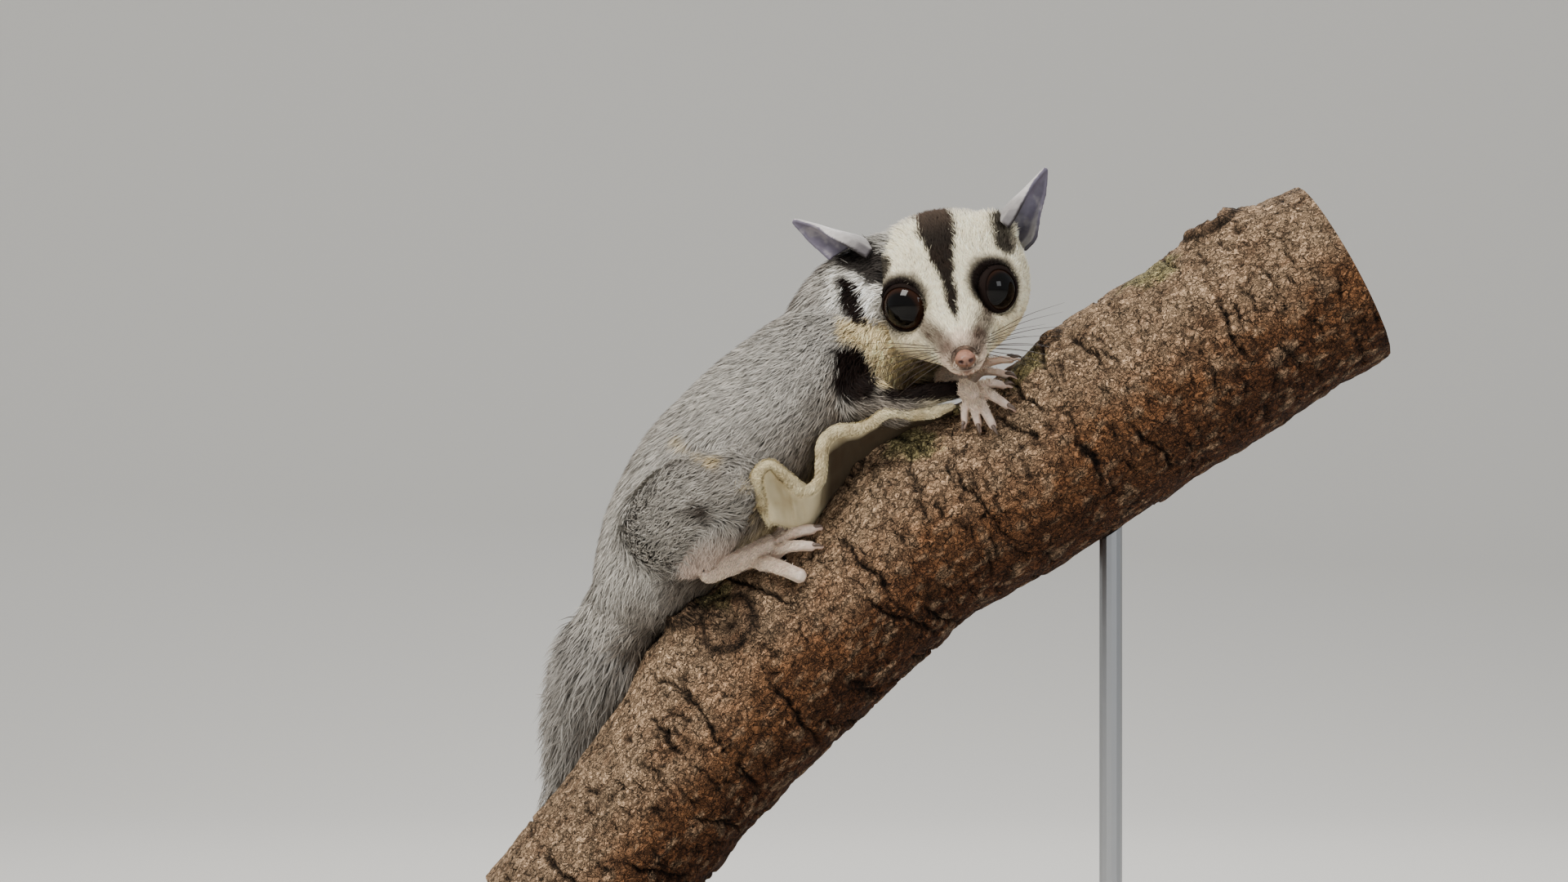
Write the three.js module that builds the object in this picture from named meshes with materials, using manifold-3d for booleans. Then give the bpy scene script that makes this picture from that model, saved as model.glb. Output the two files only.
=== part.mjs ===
// A sugar glider clinging to a short cut branch on a display stand, life size, in millimetres, +Z up.
// It climbs towards +X with its head turned to look out along -Y. The origin is under the middle of the base.
import * as THREE from "three";
import { mergeVertices } from "three/addons/utils/BufferGeometryUtils.js";
import Module from "manifold-3d";

const wasm = await Module();
wasm.setup();

// The clear gap that touching pieces keep.
const GAP = 0.3;
const point = (x, y, z) => new THREE.Vector3(x, y, z);
const OUT = point(0, -1, 0);

// The pose is laid out about a point in the animal's chest, this far from the middle of the base's underside.
const CHEST = point(-28, -4, 169);

// The branch: stations of its axis as [x, z, radius].
const BRANCH_AXIS = [
  [-44, -93, 16.6],
  [-27.4, -73, 16.7],
  [-17.1, -60.1, 17.1],
  [5.6, -37.7, 17.4],
  [24.8, -18.9, 18.1],
  [45, -6.7, 18.3],
  [65.7, 7.8, 19.4],
  [78.9, 16.3, 19.6],
  [93, 25.1, 19],
  [106, 32.2, 18.4],
];
const BARK_RELIEF = 0.35;

// The stand: a flat base with two rods.
const BASE = { length: 190, depth: 112, height: 12, corner: 30, bevel: 1.5 };
const ROD_RADIUS = 2.2;
const ROD_X = { rear: -17, front: 62 };

// The torso from rump to shoulder: [x, y, z, half-width, half-height].
const TORSO = [
  [-27, 2, -27.6, 12, 10.2],
  [-20.8, 1.5, -17.2, 16.4, 13.8],
  [-12.1, 1, -7.3, 19, 16.3],
  [-2.8, 0.5, 2.8, 19, 15.6],
  [6.5, 0.5, 11.4, 17.4, 14.4],
  [13, 1, 17.6, 14.6, 13],
];

// The neck, from inside the shoulders to inside the skull.
const NECK = [
  [8, 1, 13.6, 11.5, 12.4],
  [16, 2, 22.6, 13.4, 14],
  [23.6, 3, 28.6, 13, 13],
];

// The head: where the middle of the skull lies, and how it is turned, in degrees.
const SKULL = { at: point(30, -6, 32), yaw: 4, pitch: 21, roll: 12 };
// Stations from the nape to the muzzle: [forward, half-width, half-height, height of the middle].
const HEAD = [
  [-14, 8.2, 7, -0.6],
  [-10.5, 12.6, 9.8, -1.2],
  [-5, 15.1, 11.7, -2],
  [0.5, 16, 12, -2.8],
  [5.5, 15.2, 11.4, -3.6],
  [10, 12.2, 9.7, -5],
  [13.8, 8.6, 7.3, -6.6],
  [17.5, 5.6, 5.2, -8.2],
  [21, 4.3, 3.9, -9.3],
  [23.4, 3.2, 2.9, -9.8],
];
const EYE = { radius: 5, side: 7.5, forward: 8, up: -2.4, outward: 31, upward: 8, opening: 4.25, lid: 0.7 };
const NOSE = { forward: 23.6, up: -8.9, width: 2.4, height: 1.9, length: 2.4, nostril: 0.55 };
const MOUTH = { up: -11.8, corner: 7.5, slit: 0.45, depth: 0.8 };

// Each ear is a tapered cup along a bent midrib.
// The midrib is given as [side, forward, up] in the head, and the cup opens towards the last vector.
const EAR_WALL = 0.7;
const EAR_LENGTHS = [
  // [share of the length, radius of the cup, half its arc in degrees]
  [0, 4.3, 118],
  [0.2, 4.6, 112],
  [0.4, 3.9, 100],
  [0.6, 3.1, 88],
  [0.8, 2.2, 76],
  [0.93, 1.3, 66],
  [1, 0.75, 60],
];

// A solid of a closed geometry, turned the right way out where its placing mirrored it.
function solidOf(geometry) {
  const bare = new THREE.BufferGeometry().setAttribute("position", geometry.getAttribute("position"));
  if (geometry.index) bare.setIndex(geometry.index);
  const merged = mergeVertices(bare, 1e-4);
  const vertProperties = merged.attributes.position.array;
  const triVerts = new Uint32Array(merged.index.array);
  const solid = new wasm.Manifold(new wasm.Mesh({ numProp: 3, vertProperties, triVerts }));
  if (solid.volume() > 0) return solid;
  return new wasm.Manifold(new wasm.Mesh({ numProp: 3, vertProperties, triVerts: triVerts.reverse() }));
}

function geometryOf(solid) {
  const mesh = solid.getMesh();
  const geometry = new THREE.BufferGeometry();
  geometry.setAttribute("position", new THREE.BufferAttribute(mesh.vertProperties, 3));
  geometry.setIndex(new THREE.BufferAttribute(mesh.triVerts, 1));
  geometry.computeVertexNormals();
  return geometry;
}

// The largest closed surface of a solid, without sealed hollows and loose scraps.
const largest = (solid) => solid.decompose().reduce((a, b) => (b.volume() > a.volume() ? b : a));
const join = (solids) => largest(solids.reduce((a, b) => a.add(b)));
const cutBy = (solid, cutters) => largest(cutters.reduce((a, b) => a.subtract(b), solid));

// A closed solid over rings of equally many points, with a fan at each end.
// Quads from turnFrom on take the other diagonal, so that the two faces of a thin sheet are split alike.
function over(rings, turnFrom = Infinity) {
  const count = rings[0].length;
  const positions = [];
  const index = [];
  for (const ring of rings) for (const p of ring) positions.push(p.x, p.y, p.z);
  for (let i = 0; i < rings.length - 1; i++)
    for (let j = 0; j < count; j++) {
      const a = i * count + j;
      const b = i * count + ((j + 1) % count);
      const c = a + count;
      const d = b + count;
      if (j < turnFrom) index.push(a, b, d, a, d, c);
      else index.push(a, b, c, b, d, c);
    }
  for (const [start, ring, turned] of [
    [0, rings[0], true],
    [(rings.length - 1) * count, rings.at(-1), false],
  ]) {
    const middle = ring.reduce((sum, p) => sum.add(p), point(0, 0, 0)).divideScalar(count);
    const hub = positions.length / 3;
    positions.push(middle.x, middle.y, middle.z);
    for (let j = 0; j < count; j++) {
      const a = start + j;
      const b = start + ((j + 1) % count);
      index.push(...(turned ? [hub, b, a] : [hub, a, b]));
    }
  }
  const geometry = new THREE.BufferGeometry();
  geometry.setAttribute("position", new THREE.BufferAttribute(new Float32Array(positions), 3));
  geometry.setIndex(index);
  return solidOf(geometry);
}

// The directions across a line: side lies as near as it can to facing.
function across(tangent, facing) {
  const side = facing.clone().addScaledVector(tangent, -facing.dot(tangent)).normalize();
  return { side, up: side.clone().cross(tangent).normalize() };
}

// A body of oval section along a smooth line. stations are [x, y, z, half-width, half-height].
// caps are the lengths of the round ends, as shares of the half-height.
function limb(stations, { sides = 12, steps = 8, caps = [0.8, 0.8], facing = OUT, square = 1 } = {}, grow = 0) {
  const line = new THREE.CatmullRomCurve3(stations.map(([x, y, z]) => point(x, y, z)));
  const sizes = new THREE.CatmullRomCurve3(stations.map(([, , , a, b = a]) => point(a, b, 0)));
  const rings = [];
  const ring = (t, share, ahead) => {
    const tangent = line.getTangent(t);
    const { side, up } = across(tangent, facing);
    const size = sizes.getPoint(t);
    const centre = line.getPoint(t).addScaledVector(tangent, ahead * (size.y + grow));
    const made = [];
    for (let k = 0; k < sides; k++) {
      const angle = (2 * Math.PI * (k + 0.5)) / sides;
      const c = Math.sign(Math.cos(angle)) * Math.abs(Math.cos(angle)) ** square;
      const s = Math.sign(Math.sin(angle)) * Math.abs(Math.sin(angle)) ** square;
      made.push(
        centre
          .clone()
          .addScaledVector(side, c * (size.x + grow) * share)
          .addScaledVector(up, s * (size.y + grow) * share),
      );
    }
    rings.push(made);
  };
  const bends = (sides > 8 ? [75, 40] : [60]).map(THREE.MathUtils.degToRad);
  for (const bend of bends) if (caps[0]) ring(0, Math.cos(bend), -caps[0] * Math.sin(bend));
  for (let i = 0; i <= steps; i++) ring(i / steps, 1, 0);
  for (const bend of bends.slice().reverse()) if (caps[1]) ring(1, Math.cos(bend), caps[1] * Math.sin(bend));
  return over(rings);
}

// The branch and places on it.
const branchLine = new THREE.CatmullRomCurve3(BRANCH_AXIS.map(([x, z]) => point(x, 0, z)));
const branchSize = new THREE.CatmullRomCurve3(BRANCH_AXIS.map(([, , r], i) => point(i * 20, r, 0)));
const BRANCH_LENGTH = branchLine.getLength();

// The place at a share s of the branch's length, an angle in degrees from its ridge towards the viewer,
// and a height over the bark.
function onBranch(s, degrees, height = 0) {
  const t = branchLine.getUtoTmapping(s);
  const { side, up } = across(branchLine.getTangent(t), OUT);
  const angle = THREE.MathUtils.degToRad(degrees);
  const reach = branchSize.getPoint(t).y + height;
  return branchLine
    .getPoint(t)
    .addScaledVector(up, Math.cos(angle) * reach)
    .addScaledVector(side, Math.sin(angle) * reach);
}

const barkHeight = (s, degrees) =>
  BARK_RELIEF *
  (Math.sin(s * 61 + 2.1 * Math.sin((degrees * Math.PI) / 90)) +
    0.8 * Math.sin(s * 23 + (degrees * Math.PI) / 60) +
    0.6 * Math.sin((degrees * Math.PI) / 36));

function branchCore(grow = 0) {
  const stations = 25;
  const sides = 17;
  const rings = [];
  for (let i = 0; i <= stations; i++) {
    const s = i / stations;
    const ring = [];
    for (let k = 0; k < sides; k++) {
      const degrees = (360 * k) / sides;
      ring.push(onBranch(s, degrees, barkHeight(s, degrees) + grow));
    }
    rings.push(ring);
  }
  return over(rings);
}

// A healed knot: a low collar round a dished heart. It stands on the branch at a share s and an angle.
function knot({ s, degrees, radius, height, lean = 0 }, grow = 0) {
  const profile = [
    [0, -4],
    [radius + 1.6 + grow, -4],
    [radius + 1.2 + grow, -0.6],
    [radius + 0.3 + grow, height * 0.7 + grow],
    [radius - 0.7 + grow, height + grow],
    [radius - 1.7, height * 0.75 + grow],
    [radius * 0.35, height * 0.3 + grow],
    [0, height * 0.25 + grow],
  ].map(([x, y]) => new THREE.Vector2(x, y));
  const lathe = new THREE.LatheGeometry(profile, 10);
  lathe.deleteAttribute("normal");
  lathe.deleteAttribute("uv");
  const foot = onBranch(s, degrees);
  const axis = onBranch(s, degrees + lean, 10).sub(foot).normalize();
  lathe.applyQuaternion(new THREE.Quaternion().setFromUnitVectors(point(0, 1, 0), axis));
  lathe.translate(foot.x, foot.y, foot.z);
  return solidOf(lathe);
}

const KNOTS = [
  { s: 0.3335, degrees: 41, radius: 3.4, height: 1.6 },
  { s: 0.31, degrees: 9, radius: 2.8, height: 3.6 },
  { s: 0.513, degrees: 19, radius: 2.6, height: 1.3 },
  { s: 0.727, degrees: 18, radius: 2.9, height: 1.5 },
  { s: 0.912, degrees: 4, radius: 5.6, height: 2.6, lean: 8 },
];

const branch = (grow = 0) => join([branchCore(grow), ...KNOTS.map((k) => knot(k, grow))]);

// The stand.
const BASE_TOP = -CHEST.z + BASE.height;

function standBase() {
  const [w, d, r] = [BASE.length / 2 - BASE.bevel, BASE.depth / 2 - BASE.bevel, BASE.corner];
  const shape = new THREE.Shape();
  shape.absarc(w - r, d - r, r, 0, Math.PI / 2);
  shape.absarc(r - w, d - r, r, Math.PI / 2, Math.PI);
  shape.absarc(r - w, r - d, r, Math.PI, 1.5 * Math.PI);
  shape.absarc(w - r, r - d, r, 1.5 * Math.PI, 2 * Math.PI);
  const geometry = new THREE.ExtrudeGeometry(shape, {
    depth: BASE.height - 2 * BASE.bevel,
    bevelThickness: BASE.bevel,
    bevelSize: BASE.bevel,
    bevelSegments: 1,
    curveSegments: 5,
  });
  geometry.translate(-CHEST.x, -CHEST.y, -CHEST.z + BASE.bevel);
  return solidOf(geometry);
}

function standRod(x, wood) {
  const top = 10;
  const height = top - BASE_TOP - GAP;
  const rod = new THREE.CylinderGeometry(ROD_RADIUS, ROD_RADIUS, height, 14);
  rod.rotateX(Math.PI / 2);
  rod.translate(x, 0, BASE_TOP + GAP + height / 2);
  const pieces = solidOf(rod).subtract(wood).decompose();
  return pieces.reduce((a, b) => (b.boundingBox().min[2] < a.boundingBox().min[2] ? b : a));
}

// Places in the head: side is towards the animal's left, then forward, then up.
const headTurn = new THREE.Matrix4();
{
  const [yaw, pitch, roll] = [SKULL.yaw, SKULL.pitch, SKULL.roll].map(THREE.MathUtils.degToRad);
  const forward = point(
    Math.sin(yaw) * Math.cos(pitch),
    -Math.cos(yaw) * Math.cos(pitch),
    -Math.sin(pitch),
  );
  const level = point(Math.cos(yaw), Math.sin(yaw), 0);
  const side = level.clone().applyAxisAngle(forward, roll);
  headTurn.makeBasis(side, forward, forward.clone().cross(side)).setPosition(SKULL.at);
}
const inHead = (side, forward, up) => point(side, forward, up).applyMatrix4(headTurn);
const headWay = (side, forward, up) => point(side, forward, up).transformDirection(headTurn);

const headLine = new THREE.CatmullRomCurve3(HEAD.map(([f, , , m]) => point(0, f, m)));
const headSize = new THREE.CatmullRomCurve3(HEAD.map(([, w, h], i) => point(w, h, i * 5)));
const HEAD_SQUARE = 0.9;

// The ring of the head at a share t along its stations.
function headRing(t, sides, share, ahead, grow) {
  const middle = headLine.getPoint(t);
  const size = headSize.getPoint(t);
  const ring = [];
  for (let k = 0; k < sides; k++) {
    const angle = (2 * Math.PI * k) / sides;
    const c = Math.sign(Math.cos(angle)) * Math.abs(Math.cos(angle)) ** HEAD_SQUARE;
    const s = Math.sign(Math.sin(angle)) * Math.abs(Math.sin(angle)) ** HEAD_SQUARE;
    ring.push(inHead(c * (size.x + grow) * share, middle.y + ahead, middle.z + s * (size.y + grow) * share));
  }
  return ring;
}

function headCore(grow = 0, sides = 24, steps = 15) {
  const rings = [headRing(0, sides, 0.45, -3.6 - grow, grow), headRing(0, sides, 0.8, -1.9 - grow, grow)];
  for (let i = 0; i <= steps; i++) rings.push(headRing(i / steps, sides, 1, 0, grow));
  rings.push(headRing(1, sides, 0.72, 1.2 + grow, grow), headRing(1, sides, 0.3, 1.9 + grow, grow));
  return over(rings);
}

// The furred mound that each ear grows from.
const EAR_MOUND = { side: 10.3, forward: -2.6, up: 3.9, radius: 5 };

function earMound(sign, grow) {
  const mound = new THREE.SphereGeometry(EAR_MOUND.radius + grow, 11, 7);
  mound.deleteAttribute("normal");
  mound.deleteAttribute("uv");
  mound.translate(sign * EAR_MOUND.side, EAR_MOUND.forward, EAR_MOUND.up);
  mound.applyMatrix4(headTurn);
  return solidOf(mound);
}

const skull = (grow = 0) => join([headCore(grow), earMound(-1, grow), earMound(1, grow)]);

const eyeWay = (sign) => {
  const [out, up] = [EYE.outward, EYE.upward].map(THREE.MathUtils.degToRad);
  return point(sign * Math.sin(out) * Math.cos(up), Math.cos(out) * Math.cos(up), Math.sin(up));
};
const eyeCentre = (sign) => inHead(sign * EYE.side, EYE.forward, EYE.up);

function eyeball(sign, grow = 0) {
  const ball = new THREE.IcosahedronGeometry(EYE.radius + grow, 2);
  ball.deleteAttribute("normal");
  ball.deleteAttribute("uv");
  ball.translate(...eyeCentre(sign).toArray());
  return solidOf(ball);
}

// A form made round the axis of an eye, +Z outwards, put in its place in the head.
function atEye(geometry, sign, depth) {
  const way = eyeWay(sign);
  geometry.deleteAttribute("normal");
  geometry.deleteAttribute("uv");
  geometry.applyQuaternion(new THREE.Quaternion().setFromUnitVectors(point(0, 0, 1), way));
  geometry.translate(sign * EYE.side + way.x * depth, EYE.forward + way.y * depth, EYE.up + way.z * depth);
  geometry.applyMatrix4(headTurn);
  return solidOf(geometry);
}

// The lids: a cup round the eyeball that ends at a rim, and the opening cleared in front of that rim.
const RIM_DEPTH = Math.sqrt((EYE.radius + GAP) ** 2 - EYE.opening ** 2);
const LID_RADIUS = EYE.radius + GAP + EYE.lid;

function opening(sign) {
  const flare = new THREE.CylinderGeometry(EYE.opening + 7, EYE.opening, 7, 18);
  flare.rotateX(Math.PI / 2);
  return atEye(flare, sign, RIM_DEPTH + 3.5);
}

function lids(sign) {
  const cup = atEye(new THREE.SphereGeometry(LID_RADIUS, 16, 8), sign, 0);
  const ahead = new THREE.CylinderGeometry(LID_RADIUS + 2, LID_RADIUS + 2, 8, 12);
  ahead.rotateX(Math.PI / 2);
  return cup.subtract(atEye(ahead, sign, RIM_DEPTH + 4));
}

function noseCore(grow = 0) {
  const place = (ahead, width, height, lower) => {
    const at = inHead(0, NOSE.forward + ahead, NOSE.up - lower);
    return [at.x, at.y, at.z, width, height];
  };
  return limb(
    [
      place(-1.6, NOSE.width * 0.8, NOSE.height * 0.9, 0.4),
      place(0.6, NOSE.width, NOSE.height, 0.3),
      place(NOSE.length - 0.5, NOSE.width * 0.75, NOSE.height * 0.72, 0),
    ],
    { sides: 12, steps: 4, caps: [0.3, 0.6], facing: headWay(1, 0, 0) },
    grow,
  );
}

function nose() {
  const nostrils = [-1, 1].map((sign) => {
    const hole = new THREE.SphereGeometry(NOSE.nostril, 8, 6);
    hole.scale(1.3, 1.6, 0.9);
    hole.rotateY(sign * 0.5);
    hole.deleteAttribute("normal");
    hole.deleteAttribute("uv");
    hole.translate(sign * NOSE.width * 0.48, NOSE.forward + NOSE.length + 0.15, NOSE.up - 0.1);
    hole.applyMatrix4(headTurn);
    return solidOf(hole);
  });
  return cutBy(noseCore(), nostrils);
}

// The line of the mouth, a slit between the lips from corner to corner.
function mouthSlit() {
  const plate = new THREE.BoxGeometry(MOUTH.corner * 2, 17, MOUTH.slit);
  plate.deleteAttribute("normal");
  plate.deleteAttribute("uv");
  plate.rotateX(-0.09);
  plate.translate(0, HEAD.at(-1)[0] - 5, MOUTH.up + 0.35);
  plate.applyMatrix4(headTurn);
  return solidOf(plate).subtract(headCore(-MOUTH.depth));
}

function head() {
  const core = cutBy(skull(), [opening(-1), opening(1)]);
  const flesh = [core, lids(-1), lids(1)];
  return cutBy(join(flesh), [eyeball(-1, GAP), eyeball(1, GAP), noseCore(GAP), mouthSlit()]);
}

// An ear: rings of an open cup along its midrib, outer face then inner face.
const EARS = {
  right: {
    rib: [
      [-12.2, -2.6, 4.2],
      [-16.4, -5, 6.6],
      [-21, -8.4, 8.8],
      [-26, -10.4, 12.2],
    ],
    opens: [-0.15, 0.9, -0.42],
  },
  left: {
    rib: [
      [12.2, -2.6, 4.2],
      [15.8, -5, 6.6],
      [19.8, -8.2, 9.2],
      [23.2, -9.8, 12.8],
    ],
    opens: [0.5, 0.86, -0.2],
  },
};

function ear({ rib, opens }, cells = 9) {
  const line = new THREE.CatmullRomCurve3(rib.map((p) => inHead(...p)));
  const shape = new THREE.CatmullRomCurve3(EAR_LENGTHS.map(([, r, arc], i) => point(r, arc / 20, i * 3)));
  const rings = [];
  const stations = 12;
  for (let i = 0; i <= stations; i++) {
    const t = i / stations;
    const tangent = line.getTangentAt(t);
    const { side: open, up: across_ } = across(tangent, headWay(...opens));
    const at = (EAR_LENGTHS.length - 1) * stationOf(t);
    const form = shape.getPoint(at / (EAR_LENGTHS.length - 1));
    const [radius, arc] = [form.x, THREE.MathUtils.degToRad(form.y * 20)];
    const centre = line.getPointAt(t).addScaledVector(open, radius * 0.55);
    const place = (angle, reach) =>
      centre
        .clone()
        .addScaledVector(open, -Math.cos(angle) * reach)
        .addScaledVector(across_, Math.sin(angle) * reach);
    const outer = [];
    const inner = [];
    for (let k = 0; k < cells; k++) {
      const angle = arc * (-1 + (2 * k) / (cells - 1));
      outer.push(place(angle, radius));
      inner.unshift(place(angle, radius - Math.min(EAR_WALL, radius * 0.7)));
    }
    rings.push([...outer, ...inner]);
  }
  return over(rings, cells);
}

// How far along the list of ear lengths a share of the length lies, from 0 to 1.
function stationOf(t) {
  const shares = EAR_LENGTHS.map(([share]) => share);
  const i = Math.min(shares.findIndex((share) => share >= t - 1e-9), shares.length - 1);
  if (i <= 0) return 0;
  return (i - 1 + (t - shares[i - 1]) / (shares[i] - shares[i - 1])) / (shares.length - 1);
}

// The limbs, as stations [x, y, z, half-width, half-height].
const LIMBS = {
  foreleg_right_upper: [
    [10, -8, 11.5, 6, 7],
    [14.5, -12, 8.5, 4.6, 5.4],
    [19.5, -14.2, 6, 3.3, 3.8],
  ],
  foreleg_right_lower: [
    [19.8, -14.2, 5.8, 3.1, 3.6],
    [27, -12.2, 8.6, 2.5, 2.5],
    [33.4, -9.4, 9.8, 1.7, 1.9],
  ],
  foreleg_left_upper: [
    [14, 9, 14, 6, 7],
    [21, 12, 13.5, 4.6, 5.2],
    [27.5, 12.5, 13.5, 3.3, 3.8],
  ],
  foreleg_left_lower: [
    [27.6, 12.5, 13.5, 3.1, 3.5],
    [33, 7.5, 15, 2.4, 2.8],
    [37.4, 1.4, 16.2, 1.6, 2],
  ],
  thigh_right: [
    [-22.5, -8, -17.5, 9, 10.5],
    [-17, -13.5, -11.8, 8.4, 10],
    [-11.2, -18.5, -8.6, 5.8, 6.8],
  ],
  shank_right: [
    [-10.8, -18.6, -9.4, 5.2, 6.4],
    [-13.4, -15.8, -16, 4.6, 5.8],
    [-15.2, -12, -22, 2.5, 3],
  ],
  thigh_left: [
    [-22.5, 11, -17.5, 9, 10.5],
    [-17, 16.5, -11.8, 8.4, 9.6],
    [-11.2, 21, -8.6, 5.8, 6.6],
  ],
  shank_left: [
    [-10.8, 21, -9.4, 5.2, 6.2],
    [-13, 18, -16, 4.4, 5.4],
    [-15, 13.4, -22, 2.5, 3],
  ],
};
const limbSolid = (name, grow = 0) => limb(LIMBS[name], { sides: 12, steps: 7 }, grow);

// Hands and feet lie on the bark. Each place is [share along the branch, degrees, height over the bark].
const PAWS = {
  hand_right: {
    palm: [
      [0.625, 27, 4.7, 1.7, 1.8],
      [0.632, 30.5, 4, 2.2, 1.7],
      [0.635, 35, 3, 2.4, 1.4],
    ],
    digits: [
      { from: [0.642, 30, 3.2], to: [0.667, 34, 1], arch: 2.1, radius: 0.85 },
      { from: [0.642, 34, 3], to: [0.657, 48.5, 1], arch: 2.4, radius: 0.92 },
      { from: [0.637, 37, 2.8], to: [0.633, 54.5, 1], arch: 2.3, radius: 0.92 },
      { from: [0.63, 37.5, 2.8], to: [0.6205, 48, 1], arch: 2, radius: 0.85 },
      { from: [0.627, 33, 3.2], to: [0.609, 41, 1], arch: 1.8, radius: 0.78 },
    ],
  },
  hand_left: {
    palm: [
      [0.617, -3, 5.6, 1.7, 1.9],
      [0.634, 1, 4, 2.1, 1.7],
      [0.646, 5, 2.9, 2.2, 1.4],
    ],
    digits: [
      { from: [0.646, 9, 2.6], to: [0.676, 27, 1], arch: 2.3, radius: 0.85 },
      { from: [0.65, 5, 2.6], to: [0.69, 13, 1], arch: 2.4, radius: 0.85 },
      { from: [0.65, 0, 2.6], to: [0.688, -2, 1], arch: 2.3, radius: 0.8 },
      { from: [0.645, -4, 2.6], to: [0.672, -16, 1], arch: 2, radius: 0.72 },
      { from: [0.636, -4, 3], to: [0.638, -26, 1], arch: 1.8, radius: 0.75 },
    ],
  },
  foot_right: {
    palm: [
      [0.353, 23.4, 8.6, 2.3, 2.5],
      [0.372, 23.8, 6.9, 2.4, 2.5],
      [0.395, 24.8, 4.7, 2.7, 2.3],
      [0.416, 26.4, 2.9, 3, 1.9],
    ],
    digits: [
      { from: [0.396, 31, 3.4], to: [0.4145, 56, 1.2], arch: 2, radius: 1.25, blunt: true },
      { from: [0.414, 33, 2.7], to: [0.442, 47, 1], arch: 2, radius: 0.92 },
      { from: [0.418, 29, 2.7], to: [0.4535, 38, 1], arch: 2.3, radius: 0.95 },
      { from: [0.418, 23.5, 2.7], to: [0.459, 26, 1], arch: 2.3, radius: 0.92 },
      { from: [0.413, 18.5, 2.7], to: [0.45, 14, 1], arch: 2.1, radius: 0.85 },
    ],
  },
  foot_left: {
    palm: [
      [0.353, -26.4, 8.6, 2.3, 2.5],
      [0.372, -26.6, 6.9, 2.4, 2.5],
      [0.395, -27.4, 4.7, 2.7, 2.3],
      [0.416, -28.4, 2.9, 3, 1.9],
    ],
    digits: [
      { from: [0.396, -34, 3.4], to: [0.4145, -59, 1.2], arch: 2, radius: 1.25, blunt: true },
      { from: [0.414, -35, 2.7], to: [0.442, -50, 1], arch: 2, radius: 0.92 },
      { from: [0.418, -31, 2.7], to: [0.4535, -41, 1], arch: 2.3, radius: 0.95 },
      { from: [0.418, -25.5, 2.7], to: [0.459, -29, 1], arch: 2.3, radius: 0.92 },
      { from: [0.413, -20.5, 2.7], to: [0.45, -17, 1], arch: 2.1, radius: 0.85 },
    ],
  },
};
const CLAW = { length: 1.5, radius: 0.42, hook: 1.1 };

const between = (a, b, t) => a.map((value, i) => value + (b[i] - value) * t);

// A digit that arches from the palm to the bark, with its claw unless it is blunt.
function digit({ from, to, arch, radius, blunt = false }, grow) {
  const rise = (place, extra) => onBranch(place[0], place[1], place[2] + extra);
  const stations = [
    [rise(from, -0.3), radius * 1.15],
    [rise(between(from, to, 0.35), arch * 0.45), radius],
    [rise(between(from, to, 0.72), arch * 0.42), radius * 0.92],
    [rise(to, 0), radius * (blunt ? 0.95 : 0.8)],
  ].map(([p, r]) => [p.x, p.y, p.z, r, r]);
  const solids = [limb(stations, { sides: 6, steps: 4, caps: [0.5, 0.7] }, grow)];
  if (!blunt) {
    const ahead = rise(to, 0).sub(rise(between(from, to, 0.7), arch * 0.3)).normalize();
    const root = rise(to, 0.25);
    const down = rise(to, -CLAW.hook).sub(rise(to, 0));
    const tip = root.clone().addScaledVector(ahead, CLAW.length + 0.5).add(down);
    const middle = root.clone().lerp(tip, 0.55).add(rise(to, 0.35).sub(rise(to, 0)));
    const claw = [
      [root, CLAW.radius],
      [middle, CLAW.radius * 0.75],
      [tip, CLAW.radius * 0.25],
    ].map(([p, r]) => [p.x, p.y, p.z, r, r]);
    solids.push(limb(claw, { sides: 4, steps: 2, caps: [0, 0.3] }, grow));
  }
  return solids;
}

function paw({ palm, digits }, grow = 0) {
  const stations = palm.map(([s, degrees, height, width, thick]) => {
    const at = onBranch(s, degrees, height);
    return [at.x, at.y, at.z, width, thick];
  });
  const pad = limb(stations, { sides: 9, steps: 5, caps: [0.7, 0.7] }, grow);
  return join([pad, ...digits.flatMap((d) => digit(d, grow))]);
}

// The gliding membrane: a rolled free edge, given as [x, y, z], and a web that runs in under the flank.
const MEMBRANE = { roll: 1, web: 0.5, reach: 9, rise: 3.4 };
const MEMBRANES = {
  patagium_right: [
    [31.5, -11, 6.6],
    [27.4, -12.8, 5.3],
    [23.6, -14.6, 5],
    [18.8, -16.6, 5],
    [16.2, -17, 3.4],
    [13.2, -16.4, 2.2],
    [9.8, -16.6, 1.8],
    [7.4, -17, -0.4],
    [7, -16.8, -3.9],
    [6.6, -16.2, -7.3],
    [4, -16.6, -9.2],
    [0.3, -18.6, -6.6],
    [-2.6, -20.4, -4.4],
    [-5, -20.8, -6.4],
    [-4.6, -18.6, -10.4],
    [-3.4, -14.6, -14],
  ],
  patagium_left: [
    [31.6, 9.6, 11.4],
    [27.4, 12.6, 8.4],
    [23, 15.6, 5.6],
    [17.6, 17.4, 4.8],
    [13, 18.4, 1.8],
    [8.6, 18.6, 0.6],
    [5, 19, -3.6],
    [0.6, 20.6, -4.8],
    [-3.6, 20.4, -8],
    [-3.4, 15.8, -13.6],
  ],
};

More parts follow.
